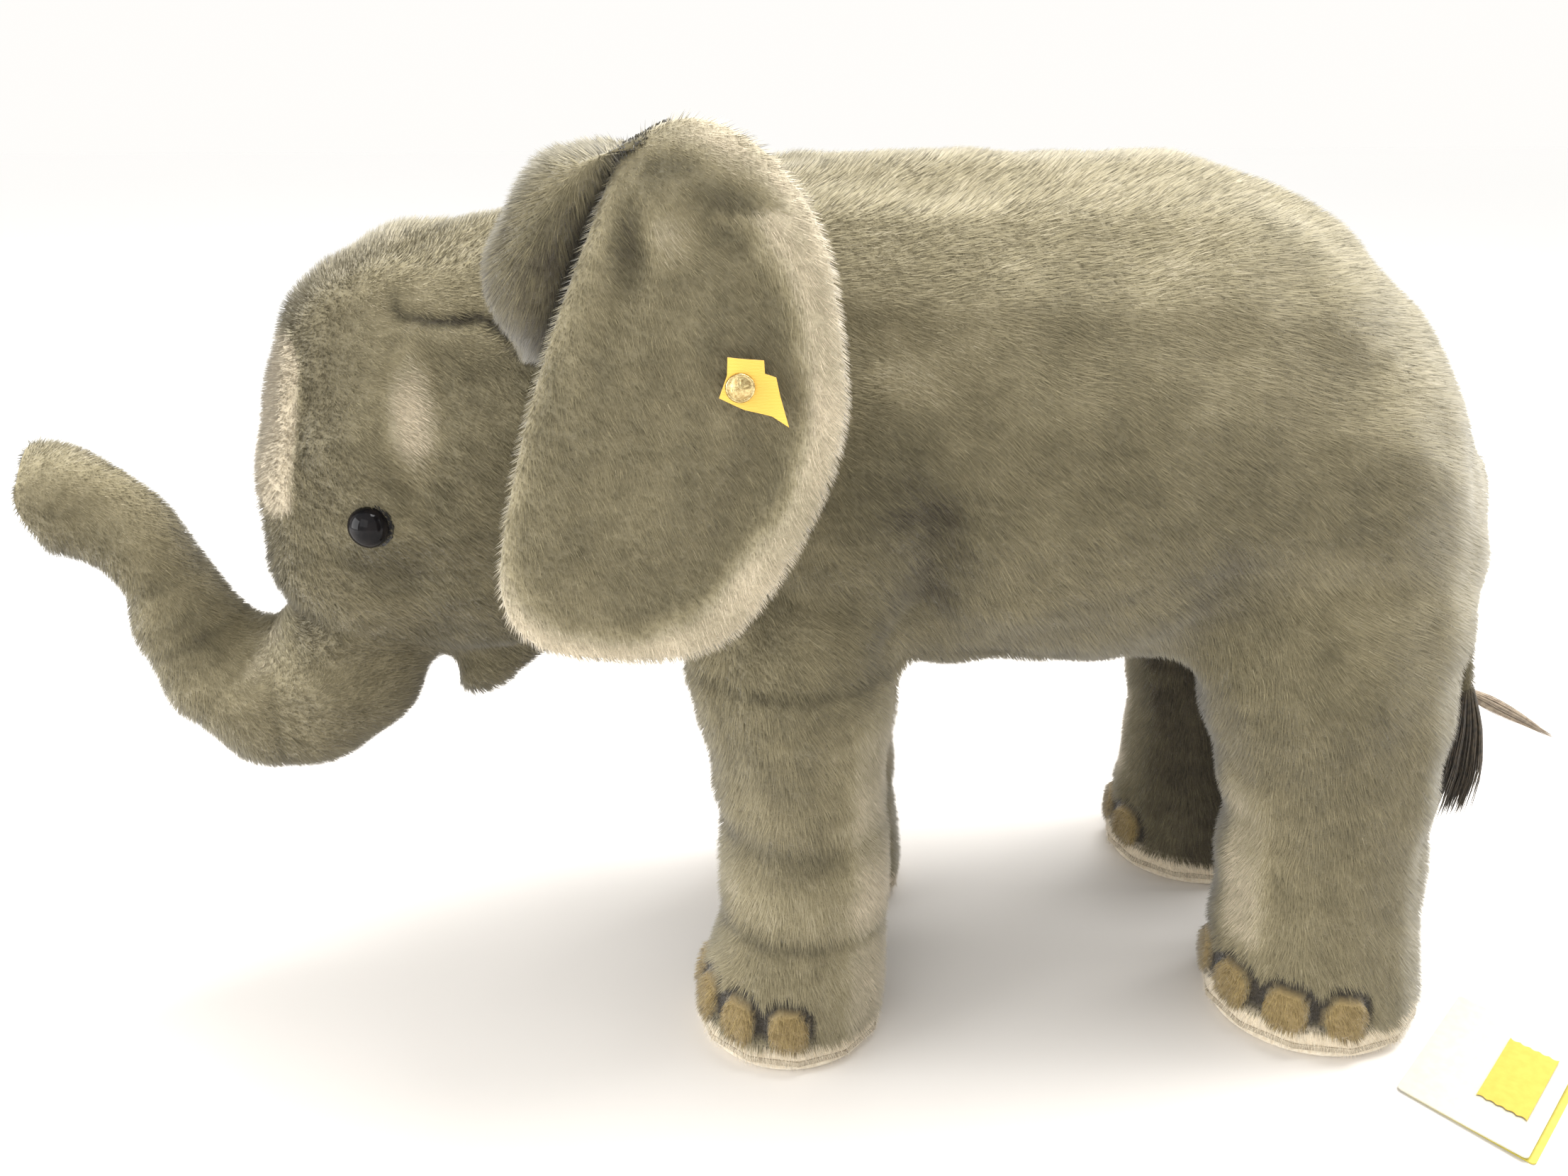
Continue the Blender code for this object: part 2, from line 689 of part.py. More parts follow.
def ear_panel(name, sign, outward, mat):
    """One of the ear's two cushioned panels; outward is 1 or -1."""
    front, back = [], []
    for share in EAR_RINGS:
        for x, z in EAR_EDGE:
            px = EAR_MID[0] + (x - EAR_MID[0]) * share
            pz = EAR_MID[1] + (z - EAR_MID[1]) * share
            seam = ear_layer(px, pz) + outward * GAP / 2
            back.append((px, sign * seam, pz))
            front.append((px, sign * (seam + outward * ear_half_thickness(share)), pz))
    n, rows = len(EAR_EDGE), len(EAR_RINGS)
    middle = ear_layer(*EAR_MID) + outward * GAP / 2
    points = front + back
    points.append((EAR_MID[0], sign * (middle + outward * ear_half_thickness(0.0)), EAR_MID[1]))
    points.append((EAR_MID[0], sign * middle, EAR_MID[1]))
    faces = []
    for i in range(n):
        j = (i + 1) % n
        for layer, tip in ((0, len(points) - 2), (n * rows, len(points) - 1)):
            flip = layer > 0
            for k in range(rows - 1):
                a, b = layer + k * n, layer + (k + 1) * n
                face = (a + i, a + j, b + j, b + i)
                faces.append(tuple(reversed(face)) if flip else face)
            last = layer + (rows - 1) * n
            face = (last + i, last + j, tip)
            faces.append(tuple(reversed(face)) if flip else face)
        faces.append((i, n * rows + i, n * rows + j, j))
    obj = new_object(name, points, faces, mat)
    face_out(obj.data)
    return obj


def ear_surface(x, z):
    """Distance of the ear's outer face from the middle plane."""
    return ear_layer(x, z) + GAP / 2 + ear_half_thickness(ear_share(x, z))


def add_label(mat):
    """The cloth label under the button, following the ear's outer face."""
    steps, stand_off, thick = 5, 0.0010, 0.0005
    low, high = [], []
    (x0, z0), (x1, z1), (x2, z2), (x3, z3) = LABEL_CORNERS
    for i in range(steps):
        for j in range(steps):
            u, v = i / (steps - 1), j / (steps - 1)
            x = (x0 * (1 - u) + x1 * u) * (1 - v) + (x3 * (1 - u) + x2 * u) * v
            z = (z0 * (1 - u) + z1 * u) * (1 - v) + (z3 * (1 - u) + z2 * u) * v
            y = ear_surface(x, z) + stand_off
            low.append((x, -y, z))
            high.append((x, -y - thick, z))
    faces = []
    n = steps * steps
    for i in range(steps - 1):
        for j in range(steps - 1):
            a = i * steps + j
            b = a + steps
            faces.append((a, a + 1, b + 1, b))
            faces.append((n + a, n + b, n + b + 1, n + a + 1))
    rim = [i * steps for i in range(steps)]
    rim += [(steps - 1) * steps + j for j in range(1, steps)]
    rim += [i * steps + steps - 1 for i in reversed(range(steps - 1))]
    rim += [j for j in reversed(range(1, steps - 1))]
    for a, b in zip(rim, rim[1:] + rim[:1]):
        faces.append((a, b, n + b, n + a))
    label = new_object("ear_label", low + high, faces, mat)
    face_out(label.data)
    return label, stand_off + thick


def add_ears(cutters, mats):
    for side, sign in SIDES.items():
        outer = ear_panel(f"ear_{side}_outer", sign, 1, mats["plush"])
        inner = ear_panel(f"ear_{side}_inner", sign, -1, mats["plush"])
        pieces = [outer, inner]
        if side == "left":
            pieces += add_button(outer, inner, mats)
        hinge = Vector((EAR_HINGE.x, sign * EAR_Y, EAR_HINGE.z))
        hang_from(hinge_empty(f"ear_{side}_hinge", hinge), *pieces)
        rings = []
        for z, x, y, rx, ry in EAR_ROOT:
            ring = []
            for i in range(LEG_RING):
                a = 2 * math.pi * i / LEG_RING
                ring.append(Vector((x + rx * math.cos(a), sign * y + ry * math.sin(a), z)))
            rings.append(ring)
        root = loft(f"ear_root_{side}", rings, mats["plush"])
        ends = [hinge - EAR_HINGE_DIR * 0.05, hinge + EAR_HINGE_DIR * 0.05]
        clear = rod(f"cutter_hinge_{side}", ends, 0.0040, None)
        cut(root, clear)
        cut(root, cutters["head"])
        cut(root, cutters["body"])


def add_button(outer, inner, mats):
    x, z = BUTTON_AT
    face = ear_surface(x, z)
    label, lift = add_label(mats["label"])
    at, out = Vector((x, -face, z)), Vector((0, -1, 0))
    cap_base = lift + 0.0007
    depth = -2 * (ear_half_thickness(ear_share(x, z)) + GAP) - 0.0010
    hole_profile = [(0.0, 0.01), (0.0014, 0.01), (0.0014, depth - 0.01), (0.0, depth - 0.01)]
    hole = turned("cutter_button", hole_profile, at, out, None, count=8)
    for piece in (outer, inner, label):
        cut(piece, hole)
    cap = [(0.0, cap_base + 0.0022), (0.0022, cap_base + 0.0019), (0.0040, cap_base + 0.0010)]
    cap += [(BUTTON_R, cap_base), (0.0011, cap_base), (0.0011, depth - 0.0012)]
    cap += [(0.0, depth - 0.0012)]
    button = turned("ear_button", cap, at, out, mats["brass"])
    back = add_washer(
        "ear_button_back", at, out, depth - 0.0002, depth - 0.0009, 0.0038, 0.0014, mats["brass"]
    )
    return [label, button, back]


# ---- tail ---------------------------------------------------------------------------------
def add_tail(mats):
    x, z = TAIL_BEND
    reach = 0.03
    spread = math.tan(TAIL_SWING / 2) * reach + GAP / 2
    bow = [(-reach, z + spread), (0, z + GAP / 2), (reach, z + spread)]
    bow += [(reach, z - spread), (0, z - GAP / 2), (-reach, z - spread)]
    gap = prism("cutter_tail_bend", bow, x - 0.02, x + 0.02, axis="X")
    above = [(-0.03, z), (0.03, z), (0.03, z + 0.09), (-0.03, z + 0.09)]
    block = prism("cutter_tail_upper", above, x - 0.03, x + 0.03, axis="X")
    upper = loft("tail_upper", tail_rings(TAIL), mats["plush"])
    lower = loft("tail_lower", tail_rings(TAIL), mats["plush"])
    cut(upper, block, "INTERSECT")
    cut(lower, block)
    cut(upper, gap)
    cut(lower, gap)
    tuft = loft("tail_tuft", tail_rings(TUFT), mats["tuft"])
    lock = loft("tail_stray_lock", tail_rings(LOCK, 6), mats["lock"])
    root = hinge_empty("tail_root_hinge", (TAIL[0][0], 0.0, TAIL[0][1] - 0.001))
    hang_from(root, upper)
    bend = hinge_empty("tail_bend_hinge", (x, 0.0, z))
    hang_from(bend, lower, tuft, lock)


# ---- hang tag -----------------------------------------------------------------------------
def paper(name, corner, size, z, thick, mat):
    rings = []
    for h in (z, z + thick):
        ring = []
        for u, v in ((0, 0), (1, 0), (1, 1), (0, 1)):
            p = corner + TAG_LONG * size[0] * u + TAG_SHORT * size[1] * v
            ring.append(Vector((p.x, p.y, h)))
        rings.append(ring)
    return loft(name, rings, mat, smooth=False)


def add_hang_tag(mats):
    shifted = TAG_CORNER + TAG_LONG * LEAF_SHIFT[0] + TAG_SHORT * LEAF_SHIFT[1]
    leaf = paper("hang_tag_leaf", shifted, TAG_SIZE, 0.0, PAPER_T, mats["leaf"])
    level = PAPER_T + GAP
    card = paper("hang_tag_card", TAG_CORNER, TAG_SIZE, level, PAPER_T, mats["card"])
    corner = TAG_CORNER + TAG_LONG * 0.016 + TAG_SHORT * 0.021
    level += PAPER_T + GAP
    sticker = paper("price_sticker", corner, (0.036, 0.016), level, PAPER_T, mats["sticker"])
    middle = TAG_CORNER + TAG_LONG * TAG_SIZE[0] / 2
    hang_from(hinge_empty("hang_tag_hinge", middle), leaf, card, sticker)


# ---- assembly -----------------------------------------------------------------------------
def main():
    for obj in list(bpy.data.objects):
        bpy.data.objects.remove(obj, do_unlink=True)
    mats = {
        "plush": material("plush", (0.30, 0.265, 0.195), 0.95),
        "stuffing": material("stuffing", (0.85, 0.84, 0.80), 1.0),
        "board": material("board", (0.35, 0.24, 0.14), 0.9),
        "sole": material("sole", (0.86, 0.72, 0.50), 0.95),
        "steel": material("steel", (0.55, 0.55, 0.56), 0.35, 1.0),
        "eye": material("eye", (0.01, 0.01, 0.012), 0.06),
        "washer": material("washer", (0.8, 0.8, 0.78), 0.5),
        "label": material("label", (0.90, 0.60, 0.08), 0.8),
        "brass": material("brass", (0.80, 0.62, 0.28), 0.25, 1.0),
        "tuft": material("tuft", (0.035, 0.022, 0.017), 0.7),
        "lock": material("lock", (0.22, 0.18, 0.13), 0.8),
        "card": material("card", (0.88, 0.88, 0.84), 0.6),
        "leaf": material("leaf", (0.90, 0.72, 0.06), 0.6),
        "sticker": material("sticker", (0.92, 0.62, 0.03), 0.6),
    }
    cutters = shared_cutters()
    wire_cutters(cutters)
    eye_cutters(cutters)
    mouth = trunk_rings(SKIN + 0.004)[:5]
    cutters["trunk_mouth"] = loft("cutter_trunk_mouth", mouth, None)
    add_shells(cutters, mats["plush"], mats, leg_cutters())
    for which in FOOT_SHIFT:
        add_leg(which, cutters, mats)
    add_wires(mats["steel"])
    made, directions = add_trunk(cutters, mats)
    add_trunk_wires(made, directions, mats["steel"])
    for name, at in (("trunk_middle", TRUNK_BEND), ("trunk_tip", TIP_BEND)):
        hang_from(hinge_empty(name + "_hinge", (at[0], 0.0, at[1])), *made[name])
    lip = loft("lower_lip", upright_rings(LIP, 0.0, 12), mats["plush"])
    cut(lip, cutters["head"])
    add_eyes(mats)
    add_ears(cutters, mats)
    add_tail(mats)
    add_hang_tag(mats)


main()
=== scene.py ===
"""The looks of a standing plush elephant: sewn skins with real pile, eyes, ears, tail and tag.

All places are in the toy's own frame (TOY moves them into the row frame): X runs from the head
(-X) to the tail (+X), the middle plane is y = 0, the left side is -Y, and the floor is z = 0.
The hide is grown from the frame's own solids, with the trunk and the ears' folds lofted in.
"""

import math

import bmesh
import bpy
import numpy as np
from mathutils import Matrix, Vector


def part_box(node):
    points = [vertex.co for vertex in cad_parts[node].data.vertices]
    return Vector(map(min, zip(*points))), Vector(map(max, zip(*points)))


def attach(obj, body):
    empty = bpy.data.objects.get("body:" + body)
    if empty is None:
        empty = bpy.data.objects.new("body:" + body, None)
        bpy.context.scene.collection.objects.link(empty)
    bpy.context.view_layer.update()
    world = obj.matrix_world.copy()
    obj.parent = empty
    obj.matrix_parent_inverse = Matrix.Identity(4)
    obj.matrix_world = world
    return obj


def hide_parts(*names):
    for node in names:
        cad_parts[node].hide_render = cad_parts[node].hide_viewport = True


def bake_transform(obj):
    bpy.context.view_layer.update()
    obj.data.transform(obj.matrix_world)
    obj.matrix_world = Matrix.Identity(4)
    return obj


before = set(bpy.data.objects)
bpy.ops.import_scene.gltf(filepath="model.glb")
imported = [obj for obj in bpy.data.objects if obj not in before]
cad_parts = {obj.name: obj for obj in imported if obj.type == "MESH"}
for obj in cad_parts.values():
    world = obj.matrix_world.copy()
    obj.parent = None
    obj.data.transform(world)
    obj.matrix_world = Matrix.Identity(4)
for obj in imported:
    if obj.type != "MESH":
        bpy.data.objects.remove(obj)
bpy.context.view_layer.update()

# ---- places from the frame ----------------------------------------------------------------
SPINE_LOW, SPINE_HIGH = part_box("spine_wire")
MIDDLE_Y = (SPINE_LOW[1] + SPINE_HIGH[1]) / 2
TOY = np.array([-0.011, MIDDLE_Y, 0.0])

VOXEL = 0.0022
TAUBIN = (0.52, -0.50)  # how far a point moves to its neighbours' mean, and back
GROWN_ROUNDS, SHRUNK_ROUNDS, SCULPTED_ROUNDS = 34, 6, 1  # of smoothing
SHRINK_ROUNDS, EVEN_ROUNDS = 16, 60  # of averaging the normals
PILE = 0.0042  # how far the pile stands over the backing cloth
PER_MM2 = 2.3  # strands on each square millimetre
STRAND_WIDTH = 0.00025
STRAND_LENGTH = 0.0044
STRAND_STRAY, STRAND_LEAN, STRAND_SINK = 0.13, 1.25, 0.0006
TONE_SPREAD = 0.070  # how much the tones of neighbouring strands differ
PIECE_MM2 = 27000  # the most skin that one piece of pile covers
LEGS = ("front_left", "front_right", "hind_left", "hind_right")
SIDES = {"left": -1.0, "right": 1.0}

# the trunk's rings: x, z on its inner side, x, z on its outer side, half width across
TRUNK = [
    (-0.168, 0.190, -0.136, 0.160, 0.0280),
    (-0.184, 0.168, -0.142, 0.134, 0.0330),
    (-0.194, 0.155, -0.156, 0.108, 0.0335),
    (-0.199, 0.149, -0.183, 0.089, 0.0310),
    (-0.2015, 0.1475, -0.212, 0.093, 0.0275),
    (-0.204, 0.149, -0.234, 0.113, 0.0245),
    (-0.2085, 0.156, -0.243, 0.137, 0.0215),
    (-0.2150, 0.170, -0.249, 0.160, 0.0200),
    (-0.2250, 0.190, -0.2580, 0.1680, 0.0192),
    (-0.2400, 0.2045, -0.2650, 0.1680, 0.0192),
    (-0.2550, 0.2125, -0.2695, 0.1715, 0.0192),
    (-0.2700, 0.2145, -0.2715, 0.1790, 0.0184),
]
TRUNK_MIDDLES = np.array([[(a + c) / 2, 0, (b + d) / 2] for a, b, c, d, _ in TRUNK])
TRUNK_FROM, TRUNK_SPLIT = 0.24, 0.60  # shares of the trunk where its two sewn pieces begin

NAIL_ANGLES = (-16, 17, 50, 84)  # from straight ahead towards the outer side, in degrees
NAIL_Z, NAIL_HALF_TURN, NAIL_HALF_TALL = 0.0182, 12.6, 0.0082


def box_of(name):
    """The box of one of the frame's nodes, in the toy's own frame."""
    low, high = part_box(name)
    return np.array(low) - TOY, np.array(high) - TOY


# ---- colours ------------------------------------------------------------------------------
def linear(r, g, b):
    """Linear colour from 8-bit sRGB values."""
    c = np.array([r, g, b]) / 255.0
    return np.where(c <= 0.04045, c / 12.92, ((c + 0.055) / 1.055) ** 2.4)


COAT_STOPS = [
    linear(52, 47, 38),
    linear(84, 77, 62),
    linear(112, 105, 81),
    linear(137, 128, 100),
    linear(159, 149, 118),
    linear(180, 170, 143),
    linear(206, 193, 166),
    linear(238, 224, 197),
]
COAT_STEPS = 22
COAT = [
    np.array([np.interp(k / (COAT_STEPS - 1) * 7, range(8), [c[i] for c in COAT_STOPS]) for i in range(3)])
    for k in range(COAT_STEPS)
]
NAILS = [linear(118, 100, 62), linear(146, 126, 82), linear(168, 148, 100)]
OUTLINE = [linear(38, 34, 28), linear(56, 50, 40)]
CREAM = [linear(238, 222, 194), linear(248, 236, 212)]
PALETTE = COAT + NAILS + OUTLINE + CREAM
FIRST_NAIL = len(COAT)
FIRST_OUTLINE = FIRST_NAIL + len(NAILS)
FIRST_CREAM = FIRST_OUTLINE + len(OUTLINE)


def ramp(tone):
    """Coat colour for tones from 0, dark, to 1, light."""
    place = np.clip(tone, 0, 1) * (len(COAT) - 1)
    low = np.minimum(place.astype(int), len(COAT) - 2)
    part = (place - low)[:, None]
    table = np.array(COAT)
    return table[low] * (1 - part) + table[low + 1] * part


# ---- numpy mesh tools ---------------------------------------------------------------------
def unit(v):
    return v / np.maximum(np.linalg.norm(v, axis=-1, keepdims=True), 1e-12)


class Skin:
    """A surface of four-sided faces in the toy's own frame."""

    def __init__(self, points, faces):
        self.points, self.faces, self.even = points, faces, None

    def edges(self):
        f = self.faces
        pairs = np.concatenate([f[:, [0, 1]], f[:, [1, 2]], f[:, [2, 3]], f[:, [3, 0]]])
        return np.unique(np.sort(pairs, axis=1), axis=0)

    def normals(self):
        p, f = self.points, self.faces
        cross = np.cross(p[f[:, 2]] - p[f[:, 0]], p[f[:, 3]] - p[f[:, 1]])
        found = np.zeros_like(p)
        for k in range(4):
            for axis in range(3):
                found[:, axis] += np.bincount(f[:, k], cross[:, axis], len(p))
        return unit(found)

    def neighbour_mean(self, values, e):
        n = len(values)
        total = np.zeros((n, 3))
        for axis in range(3):
            total[:, axis] = np.bincount(e[:, 0], values[e[:, 1], axis], n)
            total[:, axis] += np.bincount(e[:, 1], values[e[:, 0], axis], n)
        return total / np.bincount(e.ravel(), minlength=n)[:, None]

    def smooth(self, times):
        """Taubin smoothing, which takes facets away and keeps the volume."""
        e = self.edges()
        for step in range(times * 2):
            move = self.neighbour_mean(self.points, e) - self.points
            self.points = self.points + move * TAUBIN[step % 2]

    def even_out(self):
        """Keep normals that lose most of the flat strips of the surface, for the pile to follow."""
        self.even = unit(self.soft_normals(EVEN_ROUNDS) * 0.65 + self.normals() * 0.35)

    def soft_normals(self, times):
        """Normals averaged around each point, so neighbours moved along them never cross."""
        e, n = self.edges(), self.normals()
        for _ in range(times):
            n = unit(n + self.neighbour_mean(n, e))
        return n

    def face_out(self):
        """Turn all the faces round where most of them look inwards."""
        if np.sum((self.points - self.points.mean(axis=0)) * self.normals()) < 0:
            self.faces = self.faces[:, ::-1]

    def biggest(self):
        """Only the largest connected piece, without what voxels leave inside."""
        e, n = self.edges(), len(self.points)
        label = np.arange(n)
        while True:
            low = np.minimum(label[e[:, 0]], label[e[:, 1]])
            new = label.copy()
            np.minimum.at(new, e[:, 0], low)
            np.minimum.at(new, e[:, 1], low)
            new = new[new]
            if (new == label).all():
                break
            label = new
        keep = label == np.bincount(label).argmax()
        self.take(keep[self.faces[:, 0]])

    def take(self, chosen):
        used, faces = np.unique(self.faces[chosen], return_inverse=True)
        self.points, self.faces = self.points[used], faces.reshape(-1, 4)
        return used

    def part(self, chosen):
        piece = Skin(self.points.copy(), self.faces)
        piece.used = piece.take(chosen)
        return piece

    def to_object(self, name, material, colours=None):
        mesh = bpy.data.meshes.new(name)
        mesh.from_pydata((self.points + TOY).tolist(), [], self.faces.tolist())
        mesh.shade_smooth()
        if colours is not None:
            layer = mesh.color_attributes.new("coat", "FLOAT_COLOR", "POINT")
            rgba = np.ones((len(self.points), 4), np.float32)
            rgba[:, :3] = colours
            layer.data.foreach_set("color", rgba.ravel())
        mesh.materials.append(material)
        return link(name, mesh)


def link(name, mesh):
    obj = bpy.data.objects.new(name, mesh)
    bpy.context.scene.collection.objects.link(obj)
    return obj


def grown(nodes, extra=()):
    """One closed surface round CAD nodes and extra meshes, from a voxel remesh."""
    points, faces = [], []
    meshes = [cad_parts[n].data for n in nodes]
    solids = [([np.array(v.co) - TOY for v in m.vertices], [f.vertices for f in m.polygons]) for m in meshes]
    for more_points, more_faces in [*solids, *extra]:
        faces += [[len(points) + i for i in face] for face in more_faces]
        points += list(more_points)
    mesh = bpy.data.meshes.new("grown")
    mesh.from_pydata([tuple(p) for p in points], [], faces)
    obj = link("grown", mesh)
    weld = obj.modifiers.new("weld", "WELD")
    weld.merge_threshold = 0.00001
    remesh = obj.modifiers.new("voxels", "REMESH")
    remesh.mode, remesh.voxel_size = "VOXEL", VOXEL
    made = obj.evaluated_get(bpy.context.evaluated_depsgraph_get()).to_mesh()
    found = np.zeros(len(made.vertices) * 3, np.float32)
    made.vertices.foreach_get("co", found)
    quads = np.array([list(f.vertices) for f in made.polygons if len(f.vertices) == 4])
    bpy.data.objects.remove(obj)
    skin = Skin(found.reshape(-1, 3).astype(float), quads)
    skin.biggest()
    return skin


def through(rows, steps):
    """Rows of a table with smooth (Catmull-Rom) rows put in between them."""
    rows = np.array(rows)
    padded = np.concatenate([[2 * rows[0] - rows[1]], rows, [2 * rows[-1] - rows[-2]]])
    made = []
    for k in range(len(rows) - 1):
        a, b, c, d = padded[k : k + 4]
        for t in np.arange(steps) / steps:
            made.append(
                b + 0.5 * t * (c - a + t * (2 * a - 5 * b + 4 * c - d + t * (3 * (b - c) + d - a)))
            )
    return made + [rows[-1]]


def ring_faces(rows, around):
    """Four-sided faces between rings of points that follow one another."""
    a = np.arange((rows - 1) * around)
    b = a - a % around + (a + 1) % around
    return np.stack([a, b, b + around, a + around], axis=1)


def tube(rings):
    """Points and faces of a closed loft over rings of equal length."""
    n = len(rings[0])
    sides = ring_faces(len(rings), n)[:, [0, 3, 2, 1]].tolist()
    ends = [list(range(n)), list(reversed(range((len(rings) - 1) * n, len(rings) * n)))]
    return [p for ring in rings for p in ring], sides + ends


def trunk_solid():
    rings = []
    for xi, zi, xo, zo, across in through(TRUNK, 6):
        inner, outer = np.array([xi, 0, zi]), np.array([xo, 0, zo])
        middle, half = (inner + outer) / 2, (inner - outer) / 2
        ring = []
        for i in range(24):
            a = 2 * math.pi * i / 24
            ring.append(middle + half * math.cos(a) + np.array([0, across * math.sin(a), 0]))
        rings.append(ring)
    return tube(rings)


# the fold of plush at an ear's root: x, y, z of its middle, half length and half width
EAR_FOLD = [
    (-0.0930, 0.058, 0.246, 0.0090, 0.012),
    (-0.0925, 0.066, 0.253, 0.0105, 0.020),
    (-0.0920, 0.072, 0.262, 0.0150, 0.027),
    (-0.0910, 0.075, 0.272, 0.0175, 0.030),
    (-0.0885, 0.077, 0.281, 0.0185, 0.030),
    (-0.0840, 0.079, 0.291, 0.0185, 0.028),
    (-0.0790, 0.081, 0.2995, 0.0175, 0.025),
    (-0.0725, 0.083, 0.3060, 0.0160, 0.020),
    (-0.0650, 0.085, 0.3085, 0.0130, 0.015),
    (-0.0610, 0.0855, 0.3080, 0.0110, 0.012),
]


def ear_fold_solid(sign):
    rings = []
    for x, y, z, half_long, half_wide in through(EAR_FOLD, 4):
        if sign > 0 and z > FAR_TOP:
            z = FAR_TOP + (z - FAR_TOP) * FAR_SHARE
        turn = [2 * math.pi * i / 20 * sign for i in range(20)]
        rings.append(
            [np.array([x + half_long * math.cos(a), sign * y + sign * half_wide * math.sin(a), z]) for a in turn]
        )
    points, faces = tube(rings)
    return points, [tuple(reversed(face)) for face in faces]


# ---- noise and masks ----------------------------------------------------------------------
def waves(p, size, seed, octaves=3):
    """Smooth noise of about -1 to 1 as a sum of plane waves of one size and smaller."""
    r = np.random.default_rng(seed)
    total = np.zeros(len(p))
    for octave in range(octaves):
        scale = 2 * math.pi / (size / 1.9**octave)
        for _ in range(7):
            direction = unit(r.normal(size=3))
            phase = r.uniform(0, 2 * math.pi)
            total += np.sin(p @ direction * scale + phase) * 0.38 / 1.6**octave
    return total


def blob(p, centre, radii, both=True):
    """1 at a centre, falling smoothly to 0 at an ellipsoid's surface."""
    q = p.copy()
    if both:
        q[:, 1] = np.abs(q[:, 1])
    d = np.sum(((q - np.array(centre)) / np.array(radii)) ** 2, axis=1)
    return np.clip(1 - d, 0, 1) ** 1.5


def patches(p, table):
    """The sum of the blobs of a table of (amount, centre, radii)."""
    return sum(amount * blob(p, centre, radii) for amount, centre, radii in table)


def nostrils(p, x):
    """1 in the trunk's two nostrils, falling to 0 round them."""
    return sum(blob(p, (x, y, 0.199), (0.008, 0.0062, 0.0095), False) for y in (-0.0065, 0.0065))


def head_share(p):
    """1 on the head and 0 on the body."""
    return np.clip((-0.085 - p[:, 0]) / 0.01, 0, 1)


def leg_fold(p, z, width):
    """1 along a sagging fold round a leg."""
    return near(p[:, 2] - (z + 0.003 * np.sin(p[:, 1] * 60 + z * 400)), width)


def line_distance(p, line):
    """Distance in the XZ plane to a run of points."""
    best = np.full(len(p), 9.0)
    q = p[:, [0, 2]]
    for a, b in zip(line, line[1:]):
        a, b = np.array(a), np.array(b)
        t = np.clip(((q - a) @ (b - a)) / ((b - a) @ (b - a)), 0, 1)
        best = np.minimum(best, np.linalg.norm(q - a - t[:, None] * (b - a), axis=1))
    return best


def near(distance, width):
    return np.exp(-((distance / width) ** 2))


def outside(p, least):
    """1 where a point is further than least from the middle plane."""
    return np.clip((np.abs(p[:, 1]) - least) / 0.008, 0, 1)


HIND_RIDGE = [(0.106, 0.131), (0.115, 0.121), (0.122, 0.105), (0.130, 0.090), (0.133, 0.077), (0.135, 0.042)]
FACE_PATCH = [
    (0.190, -0.190), (0.195, -0.181), (0.199, -0.1725), (0.219, -0.169), (0.241, -0.1665), (0.252, -0.172),
]
BROW_SEAM = [(-0.139, 0.266), (-0.137, 0.256), (-0.124, 0.2545), (-0.113, 0.2555), (-0.097, 0.245)]
UPPER_SEAM = [(-0.137, 0.272), (-0.124, 0.279), (-0.108, 0.285)]
SHOULDER_FOLD = [(0.018, 0.200), (0.0175, 0.180), (0.011, 0.160)]
FLANK_FOLD = [(0.100, 0.140), (0.107, 0.160), (0.110, 0.178)]


def foot_centre(which):
    """The middle and half size of a sole."""
    low, high = box_of("foot_sole_" + which)
    return (low + high) / 2, (high - low) / 2


def nail_marks(p, which):
    """(nail, outline) masks of one foot: rounded plates with a dark edge over the top."""
    centre, _ = foot_centre(which)
    side = -1.0 if which.endswith("left") else 1.0
    d = p - centre
    turn = np.degrees(np.arctan2(side * d[:, 1], -d[:, 0]))
    close = (np.hypot(d[:, 0], d[:, 1]) < 0.052) & (p[:, 2] < 0.045)
    nail, edge = np.zeros(len(p)), np.zeros(len(p))
    for angle in NAIL_ANGLES:
        u = ((turn - angle + 180) % 360 - 180) / NAIL_HALF_TURN
        v = (p[:, 2] - NAIL_Z) / NAIL_HALF_TALL
        shape = (np.abs(u) ** 2.6 + np.abs(v) ** 2.6) ** (1 / 2.6)
        inside = np.clip((1.02 - shape) / 0.14, 0, 1)
        rim = np.clip((1.48 - shape) / 0.12, 0, 1) * np.clip((v + 0.85) / 0.5, 0, 1)
        nail = np.maximum(nail, inside * close)
        edge = np.maximum(edge, rim * close * (1 - inside))
    return nail, edge


# ---- sculpting ----------------------------------------------------------------------------
SWELLS = [  # how far, where and how wide the cheeks, brow, eye socket, shoulder and haunch go
    (0.0045, (-0.168, 0.036, 0.166), (0.030, 0.034, 0.028)),
    (0.0030, (-0.150, 0.050, 0.222), (0.022, 0.030, 0.020)),
    (0.0030, (-0.158, 0.028, 0.262), (0.030, 0.026, 0.026)),
    (0.0040, (-0.150, 0.0545, 0.196), (0.018, 0.020, 0.018)),
    (-0.0025, (-0.128, 0.060, 0.232), (0.012, 0.030, 0.024)),
    (0.0050, (-0.010, 0.075, 0.190), (0.038, 0.050, 0.045)),
    (0.0050, (0.155, 0.075, 0.185), (0.048, 0.050, 0.060)),
]


